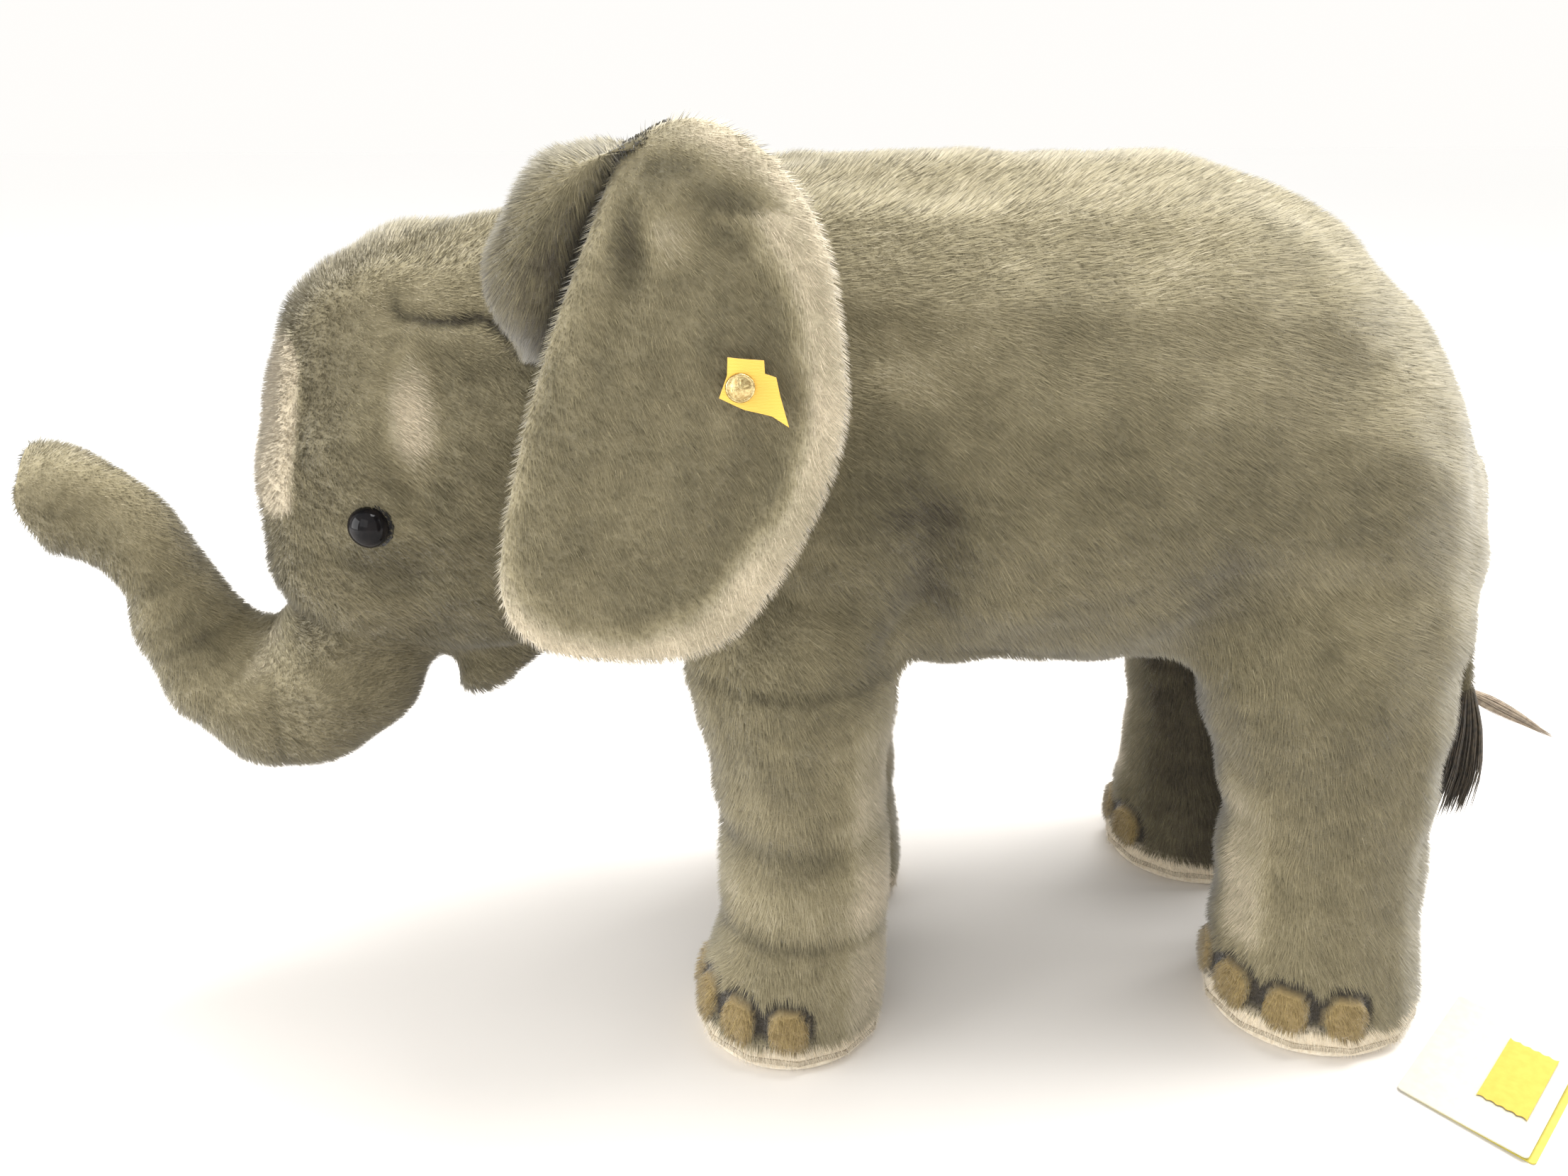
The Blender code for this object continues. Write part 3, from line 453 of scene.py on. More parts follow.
def sculpt(skin):
    """Cheeks, brow, shoulder and haunch, folds, toes and seams, as moves along the normals."""
    p, n = skin.points, skin.normals()
    move = patches(p, SWELLS)
    head = head_share(p)
    side_of_head = head * outside(p, 0.032)
    move -= 0.0014 * near(line_distance(p, BROW_SEAM), 0.0022) * side_of_head
    move -= 0.0010 * near(line_distance(p, UPPER_SEAM), 0.0020) * head
    away = outside(p, 0.055)
    move -= 0.0045 * near(line_distance(p, SHOULDER_FOLD), 0.007) * away
    move -= 0.0030 * near(line_distance(p, FLANK_FOLD), 0.009) * away
    legs = (p[:, 2] < 0.155) & (p[:, 0] > -0.09)
    front = legs & (p[:, 0] < 0.07)
    for z, depth, width in ((0.148, 0.0016, 0.0022), (0.087, 0.0013, 0.005), (0.052, 0.0016, 0.0035)):
        move -= depth * leg_fold(p, z, width) * front
    move += 0.0010 * waves(p, 0.050, 5, 2) * (p[:, 2] > 0.05)
    for which in LEGS:
        nail, edge = nail_marks(p, which)
        move += 0.0022 * nail - 0.0012 * edge
    belly = near(p[:, 1], 0.0020) * (n[:, 2] < -0.5) * (p[:, 0] > -0.05) * (p[:, 2] > 0.10)
    move -= 0.0012 * belly
    move -= 0.0030 * nostrils(p, -0.276)
    trunk = trunk_share(p)
    for share in (0.30, 0.42, 0.53, 0.63, 0.73, 0.82):
        move -= 0.0005 * near(trunk - share, 0.012) * (n[:, 0] < 0.3) * (trunk > 0.02)
    skin.points = p + n * move[:, None]


def trunk_share(p):
    """How far along the trunk a point is, from 0 at its root to 1 at its tip, else 0."""
    middles = TRUNK_MIDDLES[:, [0, 2]]
    q = p[:, [0, 2]]
    best, share = np.full(len(p), 9.0), np.zeros(len(p))
    for k in range(len(middles) - 1):
        a, b = middles[k], middles[k + 1]
        t = np.clip(((q - a) @ (b - a)) / ((b - a) @ (b - a)), 0, 1)
        d = np.linalg.norm(q - a - t[:, None] * (b - a), axis=1)
        closer = d < best
        best = np.where(closer, d, best)
        share = np.where(closer, (k + t) / (len(middles) - 1), share)
    return np.where((best < 0.045) & (np.abs(p[:, 1]) < 0.04) & (p[:, 0] < -0.14), share, 0)


# ---- where each tone and mark lies --------------------------------------------------------
COAT_PATCHES = [  # tone, middle and radii of the coat's brushed patches, and of painted shade in the trunk's inner bend
    (0.62, (-0.134, 0.057, 0.229), (0.0100, 0.04, 0.0245)),
    (-0.10, (-0.150, 0.052, 0.180), (0.020, 0.03, 0.016)),
    (0.16, (0.006, 0.080, 0.243), (0.014, 0.03, 0.009)),
    (0.10, (-0.019, 0.080, 0.194), (0.009, 0.03, 0.006)),
    (-0.13, (0.005, 0.080, 0.215), (0.018, 0.03, 0.030)),
    (0.12, (0.150, 0.080, 0.175), (0.030, 0.04, 0.022)),
    (0.14, (-0.163, 0.035, 0.160), (0.030, 0.035, 0.026)),
    (-0.24, (-0.086, 0.085, 0.282), (0.030, 0.035, 0.040)),
    # painted shade in the trunk's inner bend
    (-0.14, (-0.216, 0.024, 0.146), (0.018, 0.030, 0.018)),
]
EAR_PATCHES = [
    # the first two rows are painted shade in the flap's two dents, and the fourth is painted light on the rise
    # between them
    (-0.19, (-0.044, 0.10, 0.289), (0.016, 0.05, 0.012)),
    (-0.20, (-0.067, 0.10, 0.282), (0.007, 0.05, 0.014)),
    (-0.20, (-0.058, 0.10, 0.302), (0.012, 0.05, 0.005)),
    (0.30, (-0.056, 0.10, 0.286), (0.011, 0.05, 0.010)),
    (0.08, (-0.085, 0.10, 0.190), (0.02, 0.05, 0.018)),
]


def coat_marks(p, n):
    """(tone, nail, outline, cream) of the airbrushed coat at points with normals; the tone also holds painted light
    and painted shade.
    """
    tone = 0.400 + 0.030 * waves(p, 0.060, 1) + 0.024 * waves(p * [1.0, 1.0, 1.7], 0.014, 2, 2)
    # painted light and shade: faces turned up are lighter and faces turned down darker, as light from above falls
    tone += 0.22 * np.clip(n[:, 2], 0, 1) - 0.06 * np.clip(-n[:, 2], 0, 1)
    edge_z, edge_x = zip(*FACE_PATCH)
    inward = np.interp(p[:, 2], edge_z, edge_x) - p[:, 0]
    face = np.clip(inward / 0.002, 0, 1) * np.clip((p[:, 2] - 0.187) / 0.012, 0, 1)
    face *= np.clip((0.252 - p[:, 2]) / 0.006, 0, 1) * (p[:, 0] > -0.21)
    tone = tone * (1 - face) + 0.98 * face
    for z in (0.219, 0.199, 0.184):
        drop = p[:, 2] - z + (p[:, 0] + 0.188) * 0.9
        tone -= 0.55 * near(drop, 0.0014) * blob(p, (-0.189, 0.022, z), (0.010, 0.020, 0.012))
    head = head_share(p)
    tone -= 0.42 * near(line_distance(p, BROW_SEAM), 0.0013) * head * outside(p, 0.032)
    tone -= 0.10 * near(line_distance(p, UPPER_SEAM), 0.0025) * head
    away = outside(p, 0.055)
    # painted shade in the creases behind the shoulder and in front of the flank
    tone -= 0.16 * near(line_distance(p, SHOULDER_FOLD), 0.012) * away
    tone -= 0.10 * near(line_distance(p, FLANK_FOLD), 0.014) * away
    tone += patches(p, COAT_PATCHES)
    front = (p[:, 2] < 0.16) & (p[:, 0] < 0.07) & (p[:, 0] > -0.09)
    for z, dark, width in ((0.148, 0.14, 0.0018), (0.087, 0.15, 0.0055), (0.051, 0.20, 0.0026)):
        tone -= dark * leg_fold(p, z, width) * front
    for z, light, width in ((0.105, 0.08, 0.006), (0.064, 0.13, 0.008)):
        tone += light * near(p[:, 2] - z, width) * front
    tone += 0.05 * ((p[:, 2] < 0.10) & (p[:, 0] > -0.09))
    # painted light: the rear side of the front legs is lighter where the lamps behind light it
    behind = np.clip((n[:, 0] - 0.1) / 0.5, 0, 1) * np.clip((0.145 - p[:, 2]) / 0.02, 0, 1)
    tone += 0.32 * behind * front
    # lighter strip along the hind leg's ridge: partly the coat's own light strip, partly painted light where the
    # lamps behind fall on it; kept to the outer sides
    ridge = near(line_distance(p, HIND_RIDGE), 0.0055)
    outward = np.sign(p[:, 1]) * n[:, 1]
    tone += 0.62 * ridge * outside(p, 0.026) * np.clip(outward + 0.35, 0, 1)
    # painted shade: leg sides that face the middle plane are darker, as in the body's shadow
    tone -= 0.26 * np.clip(-outward + 0.2, 0, 1) * (p[:, 2] < 0.15) * (p[:, 0] > -0.08)
    # painted light on the upper rear of the rump, where the lamps behind light it
    tone += 0.14 * np.clip((p[:, 0] - 0.165) / 0.05, 0, 1) * (p[:, 2] > 0.12)
    share = trunk_share(p)
    for s in (0.30, 0.42, 0.53, 0.63):
        tone -= 0.10 * near(share - s, 0.010) * (share > 0.02)
    # painted light on the upward faces of the trunk's outer half
    tone += 0.02 * (share > 0.4) * np.clip(n[:, 2], 0, 1)
    tone += 0.13 * np.clip((share - 0.1) / 0.1, 0, 1) * np.clip((0.5 - share) / 0.1, 0, 1)
    tone -= 0.16 * nostrils(p, -0.274)
    nail, edge = np.zeros(len(p)), np.zeros(len(p))
    for which in LEGS:
        one, rim = nail_marks(p, which)
        nail, edge = np.maximum(nail, one), np.maximum(edge, rim)
    band = 0.0116 + 0.0022 * (p[:, 0] > 0.07) + 0.0012 * waves(p, 0.02, 9, 1)
    cream = np.clip((band - p[:, 2]) / 0.002, 0, 1) * (p[:, 0] > -0.1) * (1 - nail)
    return tone, nail, edge, cream


def ear_marks(p, n):
    """The same for an ear flap: light rolled rim, dark middle, brushed streaks near the top, with painted shade in
    the two dents there and painted light on the rise between them.
    """
    share = ear_share(p)
    outward = np.sign(p[:, 1]) * n[:, 1]
    tone = 0.425 + 0.036 * waves(p, 0.045, 3) + 0.024 * waves(p * [1.0, 1.0, 1.7], 0.013, 4, 2)
    rear = np.clip((p[:, 0] + 0.075) / 0.03, 0, 1)
    low = np.clip((0.215 - p[:, 2]) / 0.03, 0, 1)
    inner = 0.80 - 0.13 * rear * (p[:, 2] < 0.29)
    rim = np.clip((share - inner) / 0.12, 0, 1)
    tone += 0.34 * rim * np.maximum(rear, low)
    tone += 0.12 * rim
    tone += patches(p, EAR_PATCHES)
    tone += 0.12 * (outward < -0.3)
    none = np.zeros(len(p))
    return tone, none, none, none


def mark_colours(marks):
    """Colours for a skin's own vertices."""
    tone, nail, edge, cream = marks
    colour = ramp(tone * 0.9)
    for share, shade in ((cream, CREAM[0]), (edge, OUTLINE[1]), (nail, NAILS[1])):
        colour = colour * (1 - share[:, None]) + shade * share[:, None]
    return colour


def palette_index(marks, r):
    """Which of the pile's colours each strand has, with the strands mixed a little."""
    tone, nail, edge, cream = marks
    n = len(tone)
    spread = r.normal(0, TONE_SPREAD, n)
    index = np.clip(np.round((tone + spread) * (len(COAT) - 1)), 0, len(COAT) - 1).astype(int)
    pick = r.random((3, n))
    index = np.where(pick[0] < cream, FIRST_CREAM + (pick[1] > 0.45), index)
    index = np.where(pick[0] < edge * 1.1, FIRST_OUTLINE + (pick[1] > 0.6), index)
    index = np.where(pick[2] < nail, FIRST_NAIL + (pick[1] * 2.99).astype(int), index)
    return index


# ---- pile ---------------------------------------------------------------------------------
def pile_materials():
    made = []
    for k, colour in enumerate(PALETTE):
        m = bpy.data.materials.new(f"pile_{k:02d}")
        m.use_nodes = True
        shader = m.node_tree.nodes["Principled BSDF"]
        shader.inputs["Base Color"].default_value = (*colour, 1)
        shader.inputs["Roughness"].default_value = 0.85
        shader.inputs["Specular IOR Level"].default_value = 0.25
        shader.inputs["Sheen Weight"].default_value = 0.35
        shader.inputs["Sheen Roughness"].default_value = 0.45
        made.append(m)
    return made


def body_lie(p, n):
    """The way the pile lies: back along the body, down the legs, and down the face."""
    flow = np.zeros_like(p) + [0.75, 0.0, -0.65]
    legs = np.clip((0.16 - p[:, 2]) / 0.04, 0, 1) * (p[:, 0] > -0.10)
    flow[:, 0] *= 1 - 0.8 * legs
    head = np.clip((-0.085 - p[:, 0]) / 0.02, 0, 1)[:, None]
    swept = np.zeros_like(p) + [0.9, 0.0, -0.35]
    swept[:, 1] = 0.7 * np.clip(p[:, 1] / 0.02, -1, 1)
    flow = flow * (1 - head) + swept * head
    share = trunk_share(p)
    back = -np.gradient(TRUNK_MIDDLES, axis=0)
    place = np.linspace(0, 1, len(TRUNK))
    homeward = unit(np.stack([np.interp(share, place, back[:, i]) for i in range(3)], axis=1))
    along = np.clip((share - 0.05) / 0.1, 0, 1)[:, None]
    flow = flow * (1 - along) + homeward * along
    fold = (p[:, 0] > -0.115) & (p[:, 0] < -0.06) & (np.abs(p[:, 1]) > 0.046) & (p[:, 2] > 0.247)
    flow[fold] = [-0.35, 0.0, -0.9]
    return flow


def ear_lie(p, n):
    return np.zeros_like(p) + [0.5, 0.0, -0.85]


def pile(name, skin, marks, lie, materials, seed, length=STRAND_LENGTH, density=1.0):
    """Strands rooted all over a skin, as one or more meshes of tapered spikes, cut along X."""
    r = np.random.default_rng(seed)
    p, f = skin.points, skin.faces
    tris = np.concatenate([f[:, [0, 1, 2]], f[:, [0, 2, 3]]])
    a, b, c = (p[tris[:, k]] for k in range(3))
    area = np.linalg.norm(np.cross(b - a, c - a), axis=1) / 2
    count = int(area.sum() * 1e6 * PER_MM2 * density)
    pick = r.choice(len(tris), count, p=area / area.sum())
    u, v = r.random((2, count))
    flip = u + v > 1
    u, v = np.where(flip, 1 - u, u)[:, None], np.where(flip, 1 - v, v)[:, None]
    root = a[pick] + u * (b - a)[pick] + v * (c - a)[pick]
    normals = skin.normals() if skin.even is None else skin.even
    na, nb, nc = (normals[tris[pick, k]] for k in range(3))
    n = unit(na * (1 - u - v) + nb * u + nc * v)
    flow = lie(root, n)
    flow += 0.10 * np.stack([waves(root, 0.03, seed + k, 2) for k in range(3)], axis=1)
    flow = flow - n * np.sum(flow * n, axis=1, keepdims=True)
    flow = unit(flow)
    stray = r.normal(0, STRAND_STRAY, (count, 3))
    lean = STRAND_LEAN + 0.12 * waves(root, 0.022, seed + 5, 2)[:, None]
    first = unit(n + flow * lean + stray)
    found = marks(root, n)
    short = 1 - 0.35 * np.clip(found[1] + found[2] + found[3], 0, 1) - 0.3 * trunk_share(root)
    short -= 0.42 * found[2]
    short -= 0.45 * blob(root, (-0.150, 0.0545, 0.196), (0.016, 0.016, 0.016))
    long = length * short[:, None] * r.uniform(0.75, 1.1, (count, 1))
    index = palette_index(found, r)
    wide = STRAND_WIDTH * r.uniform(0.75, 1.25, (count, 1)) * 0.58
    side = unit(np.cross(first, r.normal(0, 1, (count, 3))))
    other = np.cross(first, side)
    sunk = root - n * STRAND_SINK
    corners = [sunk + wide * (side * math.cos(a) + other * math.sin(a)) for a in (0.0, 2.094, 4.189)]
    points = np.stack([*corners, root + first * long], axis=1)
    shade = unit(n + first * 0.25 + stray * 0.5)
    cuts = np.array_split(np.argsort(root[:, 0], kind="stable"), math.ceil(area.sum() * 1e6 / PIECE_MM2))
    names = [name] if len(cuts) == 1 else [f"{name}_{k + 1}" for k in range(len(cuts))]
    return [blades(one, points[cut], shade[cut], index[cut], materials) for one, cut in zip(names, cuts)]


def blades(name, points, shade, index, materials):
    """A mesh of one thin three-sided spike for each strand: three corners and a tip."""
    count = len(points)
    points = points.copy()
    points[..., 2] = np.maximum(points[..., 2], 0.0003)
    mesh = bpy.data.meshes.new(name)
    mesh.vertices.add(count * 4)
    mesh.vertices.foreach_set("co", (points.reshape(-1, 3) + TOY).astype(np.float32).ravel())
    corners = np.arange(count)[:, None] * 4 + np.array([0, 1, 3, 1, 2, 3, 2, 0, 3])
    mesh.loops.add(count * 9)
    mesh.loops.foreach_set("vertex_index", corners.ravel().astype(np.int32))
    mesh.polygons.add(count * 3)
    mesh.polygons.foreach_set("loop_start", np.arange(0, count * 9, 3, dtype=np.int32))
    used = sorted(set(index.tolist()))
    place = np.zeros(len(materials), np.int32)
    for k, old in enumerate(used):
        mesh.materials.append(materials[old])
        place[old] = k
    mesh.update(calc_edges=True)
    mesh.polygons.foreach_set("material_index", np.repeat(place[index], 3).astype(np.int32))
    mesh.polygons.foreach_set("use_smooth", np.ones(count * 3, bool))
    mesh.normals_split_custom_set_from_vertices(np.repeat(shade, 4, axis=0).astype(np.float32))
    return link(name, mesh)


# ---- node materials -----------------------------------------------------------------------
def new_material(name, colour, roughness, **inputs):
    m = bpy.data.materials.new(name)
    m.use_nodes = True
    shader = m.node_tree.nodes["Principled BSDF"]
    shader.inputs["Base Color"].default_value = (*colour, 1)
    shader.inputs["Roughness"].default_value = roughness
    for key, value in inputs.items():
        shader.inputs[key.replace("_", " ")].default_value = value
    return m, m.node_tree.nodes, m.node_tree.links, shader


def noise_bump(nodes, links, shader, scale, strength, distance, detail=4.0):
    place = nodes.new("ShaderNodeTexCoord")
    noise = nodes.new("ShaderNodeTexNoise")
    noise.inputs["Scale"].default_value = scale
    noise.inputs["Detail"].default_value = detail
    bump = nodes.new("ShaderNodeBump")
    bump.inputs["Strength"].default_value = strength
    bump.inputs["Distance"].default_value = distance
    links.new(place.outputs["Object"], noise.inputs["Vector"])
    links.new(noise.outputs["Fac"], bump.inputs["Height"])
    links.new(bump.outputs["Normal"], shader.inputs["Normal"])
    return place, noise


def mottle(nodes, links, shader, source, colour_a, colour_b, low=0.35, high=0.65):
    """Base Color as a ramp between two colours over a noise output."""
    colours = nodes.new("ShaderNodeValToRGB")
    colours.color_ramp.elements[0].position, colours.color_ramp.elements[1].position = low, high
    colours.color_ramp.elements[0].color = (*colour_a, 1)
    colours.color_ramp.elements[1].color = (*colour_b, 1)
    links.new(source, colours.inputs["Fac"])
    links.new(colours.outputs["Color"], shader.inputs["Base Color"])


def mottled(name, roughness, grain, dark, light, **inputs):
    """Two colours over a noise. grain is its scale, then a bump's strength and depth if it has one."""
    m, nodes, links, shader = new_material(name, light, roughness, **inputs)
    if len(grain) == 3:
        _, noise = noise_bump(nodes, links, shader, *grain)
    else:
        place = nodes.new("ShaderNodeTexCoord")
        noise = nodes.new("ShaderNodeTexNoise")
        noise.inputs["Scale"].default_value = grain[0]
        links.new(place.outputs["Object"], noise.inputs["Vector"])
    mottle(nodes, links, shader, noise.outputs["Fac"], dark, light)
    return m


def plush_backing():
    """The cloth between the strands: the painted coat with a fine knit and mottling."""
    m, nodes, links, shader = new_material("plush_backing", COAT[4], 0.95, Sheen_Weight=0.4)
    _, noise = noise_bump(nodes, links, shader, 900, 0.6, 0.0012, 5)
    coat = nodes.new("ShaderNodeAttribute")
    coat.attribute_name = "coat"
    mix = nodes.new("ShaderNodeMix")
    mix.data_type, mix.blend_type = "RGBA", "MULTIPLY"
    mix.inputs["Factor"].default_value = 1.0
    spread = nodes.new("ShaderNodeMapRange")
    spread.inputs["To Min"].default_value = 0.62
    spread.inputs["To Max"].default_value = 1.12
    links.new(noise.outputs["Fac"], spread.inputs["Value"])
    links.new(coat.outputs["Color"], mix.inputs["A"])
    links.new(spread.outputs["Result"], mix.inputs["B"])
    links.new(mix.outputs["Result"], shader.inputs["Base Color"])
    return m


def gloss_eye():
    tones = (0.004, 0.004, 0.005), (0.012, 0.010, 0.010)
    return mottled("gloss_eye", 0.04, (260,), *tones, Specular_IOR_Level=0.13)


def polished_brass():
    tones = (0.36, 0.25, 0.10), (0.66, 0.54, 0.27)
    return mottled("polished_brass", 0.24, (1400, 0.35, 0.0004), *tones, Metallic=1.0)


def woven_label():
    m, nodes, links, shader = new_material("woven_label", (0.9, 0.58, 0.13), 0.75, Sheen_Weight=0.2)
    place = nodes.new("ShaderNodeTexCoord")
    wave = nodes.new("ShaderNodeTexWave")
    wave.inputs["Scale"].default_value = 900
    wave.inputs["Distortion"].default_value = 1.5
    wave.bands_direction = "Z"
    bump = nodes.new("ShaderNodeBump")
    bump.inputs["Strength"].default_value = 0.35
    bump.inputs["Distance"].default_value = 0.0003
    links.new(place.outputs["Object"], wave.inputs["Vector"])
    links.new(wave.outputs["Fac"], bump.inputs["Height"])
    links.new(bump.outputs["Normal"], shader.inputs["Normal"])
    mottle(nodes, links, shader, wave.outputs["Fac"], linear(232, 178, 66), linear(250, 205, 98), 0.1, 0.9)
    return m


def paper(name, dark, light):
    return mottled(name, 0.5, (350, 0.12, 0.0003), dark, light)


def hair(name, dark, light):
    return mottled(name, 0.5, (500,), dark, light, Sheen_Weight=0.15)


# ---- the sewn skins -----------------------------------------------------------------------
def make_hide():
    nodes = ["body_skin_left", "body_skin_right", "body_stuffing"]
    nodes += ["head_skin_left", "head_skin_right", "head_stuffing", "lower_lip"]
    for which in LEGS:
        nodes += [f"leg_skin_{which}", f"leg_stuffing_{which}", f"foot_board_{which}", f"foot_sole_{which}"]
    hide = grown(nodes, [trunk_solid(), ear_fold_solid(-1.0), ear_fold_solid(1.0)])
    hide.smooth(GROWN_ROUNDS)
    hide.points -= hide.soft_normals(SHRINK_ROUNDS) * PILE
    hide.smooth(SHRUNK_ROUNDS)
    sculpt(hide)
    hide.smooth(SCULPTED_ROUNDS)
    return hide


def hide_regions(hide):
    """Which sewn piece each face of the hide belongs to."""
    centre = hide.points[hide.faces].mean(axis=1)
    x, y, z = centre.T
    share = trunk_share(centre)
    region = np.full(len(centre), "body_plush", dtype=object)
    region[x < -0.082] = "head_plush"
    legs = (z < 0.135) & (x > -0.08) & (np.abs(y) > 0.006)
    for which, front in (("front", x < 0.07), ("hind", x >= 0.07)):
        for side, sign in SIDES.items():
            region[legs & front & (np.sign(y) == sign)] = f"leg_plush_{which}_{side}"
    lip = (x > -0.150) & (x < -0.09) & (z < 0.131) & (np.abs(y) < 0.024) & (share < 0.12)
    region[lip] = "lower_lip_plush"
    region[(share > TRUNK_FROM) & (share <= TRUNK_SPLIT)] = "trunk_lower_plush"
    region[share > TRUNK_SPLIT] = "trunk_upper_plush"
    return region


def bend_with(piece):
    """Bake a plush piece's placing into its mesh, without putting it on any body."""
    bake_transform(piece)


def settle(piece, name):
    """Put a sewn piece or its pile on the body; the trunk's pieces only get their placing baked in."""
    if name == "trunk_lower_plush":
        bend_with(piece)
    elif name == "trunk_upper_plush":
        bend_with(piece)
    else:
        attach(piece, "body")


def add_hide(materials, backing):
    hide = make_hide()
    region = hide_regions(hide)
    stands_for = {
        "body_plush": ["body_skin_left", "body_skin_right", "body_stuffing"],
        "head_plush": ["head_skin_left", "head_skin_right", "head_stuffing", "ear_root_left", "ear_root_right"],
        "lower_lip_plush": ["lower_lip"],
        "trunk_lower_plush": ["trunk_base_skin", "trunk_base_stuffing", "trunk_middle_skin", "trunk_middle_stuffing"],
        "trunk_upper_plush": ["trunk_tip_skin", "trunk_tip_stuffing"],
    }
    for which in LEGS:
        stands_for[f"leg_plush_{which}"] = [f"leg_skin_{which}", f"leg_stuffing_{which}"]
    hide.even_out()
    for k, name in enumerate(sorted(stands_for)):
        part = hide.part(region == name)
        part.even = hide.even[part.used]
        colours = mark_colours(coat_marks(part.points, part.even))
        piece = part.to_object(name, backing, colours)
        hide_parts(*stands_for[name])
        settle(piece, name)
        for fur in pile(name + "_pile", part, coat_marks, body_lie, materials, 100 + k * 10):
            settle(fur, name)


# ---- ears ---------------------------------------------------------------------------------
EAR_EDGE = [
    (-0.068, 0.308), (-0.075, 0.292), (-0.086, 0.269), (-0.095, 0.246), (-0.102, 0.220),
    (-0.107, 0.192), (-0.103, 0.179), (-0.093, 0.172), (-0.073, 0.170), (-0.053, 0.172),
    (-0.040, 0.180), (-0.027, 0.198), (-0.016, 0.221), (-0.0115, 0.242), (-0.0135, 0.263),
    (-0.019, 0.2875), (-0.031, 0.3045), (-0.050, 0.3140),
]
EAR_MID = np.array([-0.060, 0.240])
EAR_Y = 0.0985


def ear_share(p):
    """0 at the ear's middle and 1 at its edge, for points seen from the side."""
    d = p[:, [0, 2]] - EAR_MID
    angle = np.arctan2(d[:, 1], d[:, 0])
    edge = np.array(EAR_EDGE) - EAR_MID
    turn = np.arctan2(edge[:, 1], edge[:, 0])
    order = np.argsort(turn)
    reach = np.interp(angle, turn[order], np.hypot(*edge[order].T), period=2 * math.pi)
    return np.hypot(*d.T) / reach


EAR_AROUND, EAR_RINGS = 180, 26
EAR_THICK = 0.0056  # half the backing's thickness at the middle of a flap
FAR_TOP, FAR_SHARE = 0.280, 0.6  # above this height the right ear droops to this share


def ear_outline(angle):
    """How far the edge is from the middle at each angle, rounded between its points."""
    edge = np.array(EAR_EDGE) - EAR_MID
    ring = np.array(through(np.concatenate([edge, edge[:1]]), 6))
    turn = np.arctan2(ring[:, 1], ring[:, 0])
    order = np.argsort(turn)
    reach = np.interp(angle, turn[order], np.hypot(*ring[order].T), period=2 * math.pi)
    for _ in range(4):
        reach = (np.roll(reach, 1) + reach + np.roll(reach, -1)) / 3
    return reach


def make_ear(side):
    """A padded flap: two crowned faces that meet in a round edge, with a rolled rear rim."""
    sign = SIDES[side]
    angle = np.linspace(-math.pi, math.pi, EAR_AROUND, endpoint=False)
    reach = ear_outline(angle) - 0.0024
    rows = np.sin(np.linspace(0.001, 1, EAR_RINGS) * math.pi / 2)
    rows = np.concatenate([rows, rows[-2::-1]])
    front = np.arange(len(rows)) < EAR_RINGS
    share = np.repeat(rows, EAR_AROUND)
    face = np.repeat(np.where(front, 1.0, -1.0), EAR_AROUND)
    spread = (rows[:, None] * reach[None, :]).ravel()
    turn = np.tile(angle, len(rows))
    x = EAR_MID[0] + spread * np.cos(turn)
    z = EAR_MID[1] + spread * np.sin(turn)
    thick = EAR_THICK * np.sqrt(np.clip(1 - share**3.5, 0, 1))
    flat = np.stack([x, 0 * x, z], axis=1)
    rear = np.clip((x + 0.085) / 0.03, 0, 1) * np.clip((0.300 - z) / 0.02, 0, 1)
    bend = 0.0042 * near(share - 0.92, 0.16) * rear - 0.0024 * near(share - 0.62, 0.16) * rear
    bend += 0.0016 * waves(flat, 0.07, 21, 2) * np.clip(1 - share, 0, 1)
    bend -= 0.0080 * np.clip((z - 0.283) / 0.027, 0, 1) ** 1.6
    dimple = blob(flat, (-0.067, 0.0, 0.282), (0.007, 1.0, 0.016), False)
    dimple += blob(flat, (-0.044, 0.0, 0.289), (0.014, 1.0, 0.012), False)
    bend -= 0.0022 * dimple
    y = sign * (EAR_Y + bend + face * thick)
    if side == "right":
        z = np.where(z > FAR_TOP, FAR_TOP + (z - FAR_TOP) * FAR_SHARE, z)
    points = np.stack([x, y, z], axis=1)
    faces = ring_faces(len(rows), EAR_AROUND)
    skin = Skin(points, faces if sign > 0 else faces[:, ::-1])
    skin.face_out()
    return skin


def add_ears(materials, backing):
    for side, sign in SIDES.items():
        skin = make_ear(side)
        colours = mark_colours(ear_marks(skin.points, skin.normals()))
        flap = skin.to_object(f"ear_{side}_plush", backing, colours)
        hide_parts(f"ear_{side}_outer", f"ear_{side}_inner")
        seed = 300 if sign < 0 else 340
        fur = pile(f"ear_{side}_pile", skin, ear_marks, ear_lie, materials, seed, 0.0034)
        for piece in (flap, *fur):
            bend_with(piece)


# ---- smaller pieces -----------------------------------------------------------------------
def lathe(profile, around=48):
    """Points and four-sided faces of a (radius, height) profile turned round local Z."""
    turn = 2 * math.pi * np.arange(around) / around
    rings = [np.stack([r * np.cos(turn), r * np.sin(turn), 0 * turn + z], axis=1) for r, z in profile]
    return np.concatenate(rings), ring_faces(len(profile), around).tolist()


def axes_along(out):
    """Two directions across a direction, then the direction."""
    out = unit(np.array(out, float))
    steep = abs(out[2]) > 0.8
    first = unit(np.cross([0.0, 1.0, 0.0] if steep else [0.0, 0.0, 1.0], out))
    return np.array([first, np.cross(out, first), out])


def solid_piece(name, points, faces, material, body):
    mesh = bpy.data.meshes.new(name)
    mesh.from_pydata((np.array(points) + TOY).tolist(), [], [list(f) for f in faces])
    mesh.shade_smooth()
    mesh.materials.append(material)
    piece = link(name, mesh)
    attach(piece, body)
    return piece


